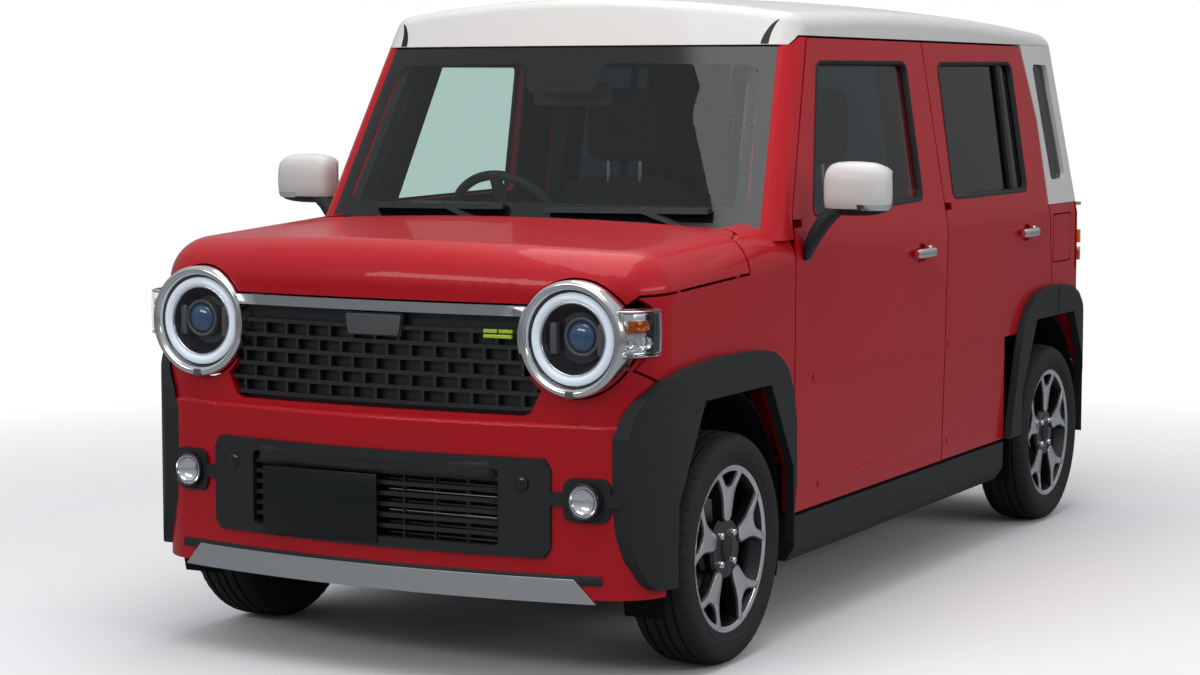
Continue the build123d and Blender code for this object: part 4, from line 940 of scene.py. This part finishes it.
bars = []
for column in range(-5, 6):
    for row in range(40):
        start = (FRONT_PLATE_X + column * 0.033, -3, 0.336 + row * 0.004)
        bars.append(struck("lower_guard", start, (0, 1, 0)))
foremost = min(bar.y for bar in bars if bar is not None)
plate = number_plate("number_plate", FRONT_PLATE_X, foremost - 0.001 - PLATE_THICK, FRONT_PLATE_Z)
finished(plate, "root", "black_plastic", (), 30, "plate_dark")

slats = []
for i in range(11):
    z = 0.3545 + 0.013 * i
    slats.append(block("slat", (0.045, -1.668, z - 0.0022), (0.345, -1.650, z + 0.0022), 0.0006, 1))
for x in (0.098, 0.182, 0.266):
    slats.append(block("post", (x - 0.002, -1.664, 0.346), (x + 0.002, -1.648, 0.496), 0.0006, 1))
slats.append(block("screen_back", (-0.352, -1.640, 0.340), (0.352, -1.636, 0.530), 0.001, 1))
finished(merged("guard_mesh", slats), "root", "black_plastic", (), 30, "mesh_black")
wires = []
for z in (0.4100, 0.4600):
    wires.append(block("wire", (0.045, -1.672, z - 0.0012), (0.345, -1.669, z + 0.0012), 0.0005, 1))
finished(merged("guard_wires", wires), "root", "black_plastic", (), 30, "bright_wire")

STRIP_SECTION = [
    (0.006, 0.262), (-0.0035, 0.262), (-0.0045, 0.266), (-0.0045, 0.278), (-0.002, 0.284), (0.012, 0.286),
]
strip_rings = []
for x in spread(41, -0.600, 0.600):
    y = front_y("front_bumper", x, 0.300)
    strip_rings.append([Vector((x, y + a, z)) for a, z in STRIP_SECTION])
finished(lofted("skid_strip", strip_rings), "root", "black_plastic", (), 40)

# ---------------------------------------------------------------- tailgate fittings and tail lamps
rear_plate_y = rear_y(0.0, REAR_PLATE_Z + 0.05) + 0.001
rear_plate = number_plate("rear_number_plate", 0, rear_plate_y, REAR_PLATE_Z)
finished(rear_plate, "tailgate", "black_plastic", (), 30, "plate_dark")
lamp_points = [vertex.co for vertex in nodes["tail_lamps"].data.vertices if vertex.co.x > 0]
lamp_low = [min(point[i] for point in lamp_points) for i in range(3)]
lamp_high = [max(point[i] for point in lamp_points) for i in range(3)]
lamp_rim, lamp_tall = (lamp_high[0] - lamp_low[0]) * 0.12, lamp_high[2] - lamp_low[2]
# low and high ends, as shares of the lamp's height
TAIL_FIELDS = [
    ("reverse_lamp", 0.10, 0.30, "reflector"), ("rear_turn_lamp", 0.36, 0.56, "amber_bulb"),
    ("tail_band", 0.93, 0.98, "silver_ring"),
]
for name, low, high, material in TAIL_FIELDS:
    low_corner = (lamp_low[0] + lamp_rim, lamp_high[1] - 0.012, lamp_low[2] + lamp_tall * low)
    high_corner = (lamp_high[0] - lamp_rim, lamp_high[1] + 0.001, lamp_low[2] + lamp_tall * high)
    both(block(name, low_corner, high_corner), "root", "tail_lens", None, 30, material)
GRIP_Z = 0.835
grip_y = rear_y(0.0, GRIP_Z)
grip_low, grip_high = (-0.105, grip_y - 0.004, GRIP_Z - 0.014), (0.105, grip_y + 0.0105, GRIP_Z + 0.014)
finished(block("tailgate_grip", grip_low, grip_high, 0.004, 3), "tailgate", "body_red", (), 40, "chrome")

# ---------------------------------------------------------------- windscreen and fixed glass
CLEAR = [
    (-0.556, 1.478), (-0.115, 1.486), (-0.108, 1.405), (0.108, 1.405), (0.115, 1.486), (0.556, 1.478),
    (0.612, 1.108), (-0.612, 1.108),
]
screen = part_of("fixed_glass", "windscreen", lambda middle: middle.y < 0)
frit = copied(screen, "windscreen_edge", Matrix.Identity(4))
clear_path = [tuple(point) for point in softened(CLEAR, 0.035)]
cut_by(frit, outline_piece("frit_tool", clear_path, "Y", -1.3, 0.8), "DIFFERENCE")
cut_by(screen, outline_piece("clear_tool", clear_path, "Y", -1.3, 0.8), "INTERSECT")
finished(screen, "root", "clear_glass", ("fixed_glass",), 30)
finished(frit, "root", "clear_glass", (), 30, "frit")
quarters = part_of("fixed_glass", "quarter_glass", lambda middle: middle.y > 0)
finished(quarters, "root", "clear_glass", (), 30, "privacy_glass")

# ---------------------------------------------------------------- window seals
SEAL = [
    (0.0075, 0.0002), (0.007, 0.0015), (0.001, 0.0018), (-0.0025, 0.0002), (-0.008, -0.0118),
    (0.0002, -0.0122),
]
WINDOWS = {
    "front": [(-0.629, 1.087), (-0.489, 1.485), (0.153, 1.488), (0.168, 1.100)],
    "rear": [(0.425, 1.094), (0.419, 1.488), (1.072, 1.494), (1.093, 1.094)],
}
GLASS_BEHIND = 0.0139  # the glass lies this far in from the door's skin
NEARBY = [
    (0, 0), (0.003, 0), (-0.003, 0), (0, 0.003), (0, -0.003),
    (0.004, 0.004), (-0.004, -0.004), (0.004, -0.004), (-0.004, 0.004),
]


def door_skin(end):
    """Where a door's outer skin lies, also across its window."""

    def on_skin(y, z, proud):
        for near_y, near_z in NEARBY:
            start = (1.3, y + near_y, z + near_z)
            on_door = struck(f"door_{end}_left", start, (-1, 0, 0))
            on_glass = struck(f"glass_{end}_left", start, (-1, 0, 0))
            if on_door is not None and (on_glass is None or on_door.x > on_glass.x + 0.005):
                return Vector((on_door.x + proud, y, z))
            if on_glass is not None:
                return Vector((on_glass.x + GLASS_BEHIND + proud, y, z))
        raise ValueError(f"no door skin near {y:.3f}, {z:.3f}")

    return on_skin


for end, outline in WINDOWS.items():
    edging = seal(f"window_seal_{end}", outline, 0.030, SEAL, door_skin(end))
    both(edging, f"door_{end}_{{side}}", "black_plastic", None, 40, "seal_rubber")
DIVIDER_SECTION = [(-0.016, -0.0125), (-0.015, -0.002), (0.015, -0.002), (0.016, -0.0125)]
divider_rings = []
rear_skin = door_skin("rear")
for t in spread(9):
    y, z = 0.962 - 0.006 * t, 1.088 + 0.412 * t
    divider_rings.append([rear_skin(y + a, z, b) for a, b in DIVIDER_SECTION])
both(lofted("window_divider", divider_rings), "door_rear_{side}", "black_plastic", None, 30, "seal_rubber")

# ---------------------------------------------------------------- door mirrors
# x, half depth, half height, height of the middle
mirror_table = [
    (0.7640, 0.014, 0.036, 1.150), (0.7665, 0.028, 0.050, 1.152), (0.7720, 0.037, 0.059, 1.155),
    (0.7830, 0.043, 0.0655, 1.158), (0.8000, 0.047, 0.069, 1.1595), (0.8300, 0.050, 0.0705, 1.160),
    (0.8650, 0.050, 0.070, 1.160), (0.8950, 0.048, 0.0675, 1.160), (0.9150, 0.043, 0.0625, 1.159),
    (0.9280, 0.036, 0.055, 1.157), (0.9350, 0.026, 0.045, 1.155), (0.9388, 0.012, 0.030, 1.153),
]
MIRROR_Y, MIRROR_BACK = -0.692, -0.652
MIRROR_BODY = "door_front_{side}"
UP, OUT, BACK = (0, 0, 1), (1, 0, 0), (0, 1, 0)


def mirror_shell(grow):
    """The mirror's egg-shaped case, flat at the back."""
    rings = []
    for x, half_y, half_z, z_mid in mirror_table:
        ring = oval(MIRROR_Y, z_mid, half_y + grow, half_z + grow, 2.7, 40)
        rings.append([Vector((x, min(y, MIRROR_BACK + grow), z)) for y, z in ring])
    return lofted("mirror_case", rings)


both(cut_flat(mirror_shell(0), (0, 0, 1.1095), UP, True), MIRROR_BODY, "roof_white", "mirror_{side}", 40)
mirror_base = cut_flat(mirror_shell(-0.0012), (0, 0, 1.1093), UP, False)
both(mirror_base, MIRROR_BODY, "roof_white", None, 40, "black_plastic")
blinker = cut_flat(cut_flat(mirror_shell(0.0016), (0, 0, 1.122), UP, False), (0, 0, 1.106), UP, True)
cut_flat(cut_flat(blinker, (0.866, 0, 0), OUT, True), (0, -0.668, 0), BACK, False)
both(blinker, MIRROR_BODY, "roof_white", None, 30, "reflector")
glass_rings = []
for x, half_y, half_z, z_mid in mirror_table[2:-2]:
    low, high = z_mid - half_z + 0.006, z_mid + half_z - 0.006
    section = ((0.0002, low), (0.0002, high), (0.0020, high), (0.0020, low))
    glass_rings.append([Vector((x, MIRROR_BACK + y, z)) for y, z in section])
both(lofted("mirror_glass", glass_rings), MIRROR_BODY, "roof_white", None, 20, "mirror_glass")
# x, y and z of the middle, half width, half depth
stalk_table = [
    (0.7165, -0.708, 0.974, 0.0042, 0.012), (0.7185, -0.708, 0.982, 0.0062, 0.018),
    (0.7235, -0.708, 1.000, 0.011, 0.024), (0.7330, -0.708, 1.025, 0.016, 0.028),
    (0.7480, -0.706, 1.052, 0.020, 0.030), (0.7660, -0.703, 1.078, 0.023, 0.031),
    (0.7860, -0.700, 1.098, 0.027, 0.031), (0.8000, -0.698, 1.112, 0.030, 0.030),
]
stalk_rings = []
for x, y, z, half_x, half_y in stalk_table:
    stalk_rings.append([Vector((a, b, z)) for a, b in oval(x, y, half_x, half_y, 3.0, 28)])
both(lofted("mirror_stalk", stalk_rings), MIRROR_BODY, "roof_white", None, 40, "black_plastic")

# ---------------------------------------------------------------- door handles
HANDLES = {"front": (0.052, 0.946), "rear": (0.984, 0.959)}  # front end, height
HANDLE_LONG, HANDLE_X = 0.144, 0.7285
for end, (y0, z) in HANDLES.items():
    y1 = y0 + HANDLE_LONG
    rings = []
    for t in spread(17):
        slim = 1 - 0.35 * abs(2 * t - 1) ** 14
        bow = 0.0045 * (1 - (2 * t - 1) ** 2)
        section = oval(HANDLE_X + bow * 0.6, z, 0.0098 * slim, 0.0138 * slim, 3.2, 20)
        rings.append([Vector((x, y0 + HANDLE_LONG * t, height)) for x, height in section])
    both(lofted(f"handle_{end}", rings), f"door_{end}_{{side}}", "body_red", None, 40, "chrome")
    lock_low, lock_high = (0.7115, y1 - 0.030, z - 0.004), (0.7262, y1 - 0.010, z + 0.019)
    lock = block(f"handle_lock_{end}", lock_low, lock_high, 0.004, 3)
    both(lock, f"door_{end}_{{side}}", "body_red", None, 40, "chrome")

# ---------------------------------------------------------------- roof edge strips beside the windscreen
# across, height, half the strip's width
ditch_table = [
    (0.5580, 1.5345, 0.0125), (0.5585, 1.5450, 0.0120), (0.5600, 1.5560, 0.0110), (0.5630, 1.5670, 0.0095),
    (0.5670, 1.5770, 0.0080), (0.5715, 1.5860, 0.0062), (0.5765, 1.5930, 0.0044), (0.5815, 1.5980, 0.0024),
]
ditch_rings = []
for x, z, half in ditch_table:
    section = ((-half, -0.002), (-half * 0.8, 0.0012), (half * 0.8, 0.0012), (half, -0.002))
    ditch_rings.append([Vector((x + a, front_y("roof_panel", x + a, z) - proud, z)) for a, proud in section])
both(lofted("ditch_strip", ditch_rings), "root", "roof_white", None, 30, "seal_rubber")


# ---------------------------------------------------------------- seats
def pad(name, rings, replaced=()):
    """A stuffed seat piece over its rings, made fuller by subdivision."""
    piece = lofted(name, rings)
    fuller = piece.modifiers.new("fuller", "SUBSURF")
    fuller.levels = fuller.render_levels = 1
    apply_modifiers(piece)
    finished(piece, "root", "seat_cloth", replaced, 60)


def fullness(t, power, least):
    """How full a stuffed piece is along its length: 1 in the middle, and least at its ends."""
    return (1 - abs(2 * t - 1) ** power) ** 0.5 if 0 < t < 1 else least


def seat_back(name, x_mid, half, low, high, thick, replaced=()):
    """A leaning backrest with side bolsters, from (y, z) low to (y, z) high."""
    rings = []
    for t in spread(13):
        y, z = low[0] + (high[0] - low[0]) * t, low[1] + (high[1] - low[1]) * t
        end = fullness(t, 8, 0.15)
        wide = half * (1 - 0.16 * t ** 2) * (0.86 + 0.14 * end)
        ring = []
        for a, b in oval(0, 0, wide, thick * max(end, 0.2), 3.4, 36):
            bolster = 0.018 * (a / wide) ** 4 if b < 0 else 0
            ring.append(Vector((x_mid + a, y + b - bolster, z)))
        rings.append(ring)
    pad(name, rings, replaced)


def seat_cushion(name, x_mid, half, front, back, thick):
    """A seat cushion from (y, z) front to (y, z) back, with a rolled front edge."""
    rings = []
    for t in spread(13):
        y, z = front[0] + (back[0] - front[0]) * t, front[1] + (back[1] - front[1]) * t
        end = fullness(t, 8, 0.15)
        wide = half * (0.90 + 0.10 * end)
        ring = []
        for a, b in oval(0, 0, wide, thick * max(end, 0.2), 3.4, 36):
            bolster = 0.016 * (a / wide) ** 4 if b > 0 else 0
            ring.append(Vector((x_mid + a, y, z + b + bolster)))
        rings.append(ring)
    pad(name, rings)


def headrest(name, x_mid, y, low, high, half):
    """A rounded headrest on two bright stalks."""
    rings = []
    for t in spread(11):
        end = fullness(t, 4, 0.2)
        section = oval(0, 0, half * (0.75 + 0.25 * end), 0.048 * max(end, 0.25), 2.8, 28)
        rings.append([Vector((x_mid + a, y + b + 0.01 * t, low + (high - low) * t)) for a, b in section])
    pad(name, rings)
    cylinder = {"vertices": 16, "radius": 0.006, "depth": 0.10}
    for way in (-1, 1):
        rod = new_piece(f"{name}_stalk", bpy.ops.mesh.primitive_cylinder_add, **cylinder)
        rod.data.transform(Matrix.Translation((x_mid + way * 0.055, y, low - 0.03)))
        finished(rod, "root", "seat_cloth", (), 40, "chrome")


def seat_base(name, low, high, edge):
    """A plain plinth under a seat."""
    finished(block(name, low, high, edge, 3), "root", "seat_cloth", (), 40, "cabin_plastic")


FRONT_SEAT_X, REAR_SEAT_X, REAR_REST_X = 0.305, 0.245, 0.250
# the left backrests replace the nodes that hold each row of seats
ROW_NODES = {"left": (("front_seats",), ("rear_seat",)), "right": ((), ())}
for side, way in SIDES:
    front_x, rear_x = way * FRONT_SEAT_X, way * REAR_SEAT_X
    front_row, rear_row = ROW_NODES[side]
    seat_back(f"front_back_{side}", front_x, 0.245, (0.085, 0.575), (0.262, 1.150), 0.062, front_row)
    seat_cushion(f"front_cushion_{side}", front_x, 0.250, (-0.285, 0.572), (0.115, 0.552), 0.066)
    headrest(f"front_rest_{side}", front_x, 0.232, 1.190, 1.420, 0.128)
    seat_back(f"rear_back_{side}", rear_x, 0.236, (1.195, 0.590), (1.300, 1.085), 0.052, rear_row)
    seat_cushion(f"rear_cushion_{side}", rear_x, 0.238, (0.795, 0.535), (1.190, 0.520), 0.062)
    headrest(f"rear_rest_{side}", way * REAR_REST_X, 1.312, 1.122, 1.278, 0.115)
    seat_base(f"seat_base_{side}", (front_x - 0.20, -0.20, 0.264), (front_x + 0.20, 0.06, 0.505), 0.012)
seat_base("rear_seat_base", (-0.475, 0.866, 0.436), (0.475, 1.175, 0.470), 0.008)

# ---------------------------------------------------------------- wheel-house linings
LINER_IN, LINER_OUT, LINER_THICK = 0.590, 0.6985, 0.004
LINER_HIGH, LINER_LONG, LINER_SHORT = 0.386, 0.338, 0.324  # short only behind the front axle
for end, axle_y in ENDS:
    rings = []
    for angle in spread(41, -18, 198):
        turn = radians(angle)
        reach = LINER_LONG if end == "rear" or cos(turn) < 0 else LINER_SHORT
        y, z = axle_y + reach * cos(turn), HUB_Z + LINER_HIGH * sin(turn)
        out_y = axle_y + (reach + LINER_THICK) * cos(turn)
        out_z = HUB_Z + (LINER_HIGH + LINER_THICK) * sin(turn)
        corners = ((LINER_IN, y, z), (LINER_OUT, y, z), (LINER_OUT, out_y, out_z), (LINER_IN, out_y, out_z))
        rings.append([Vector(corner) for corner in corners])
    both(lofted(f"liner_{end}", rings), "root", "body_steel", None, 40, "liner_felt")

# ---------------------------------------------------------------- every other panel
done = {f"{kind}_{end}_{side}" for kind in ("tyre", "rim") for end, y in ENDS for side, way in SIDES}
done |= {"front_lamps", "front_trim", "grille", "lower_guard", "fixed_glass", "front_seats", "rear_seat"}
done |= {"mirror_left", "mirror_right"}
SOFT_EDGES = {
    "arch_flares": 0.007, "door_flare_left": 0.005, "door_flare_right": 0.005, "front_bumper": 0.003,
    "bonnet": 0.004,
}
for node in sorted(set(nodes) - done):
    dressed(node, SOFT_EDGES.get(node, 0.0015), 3 if node in SOFT_EDGES else 2)
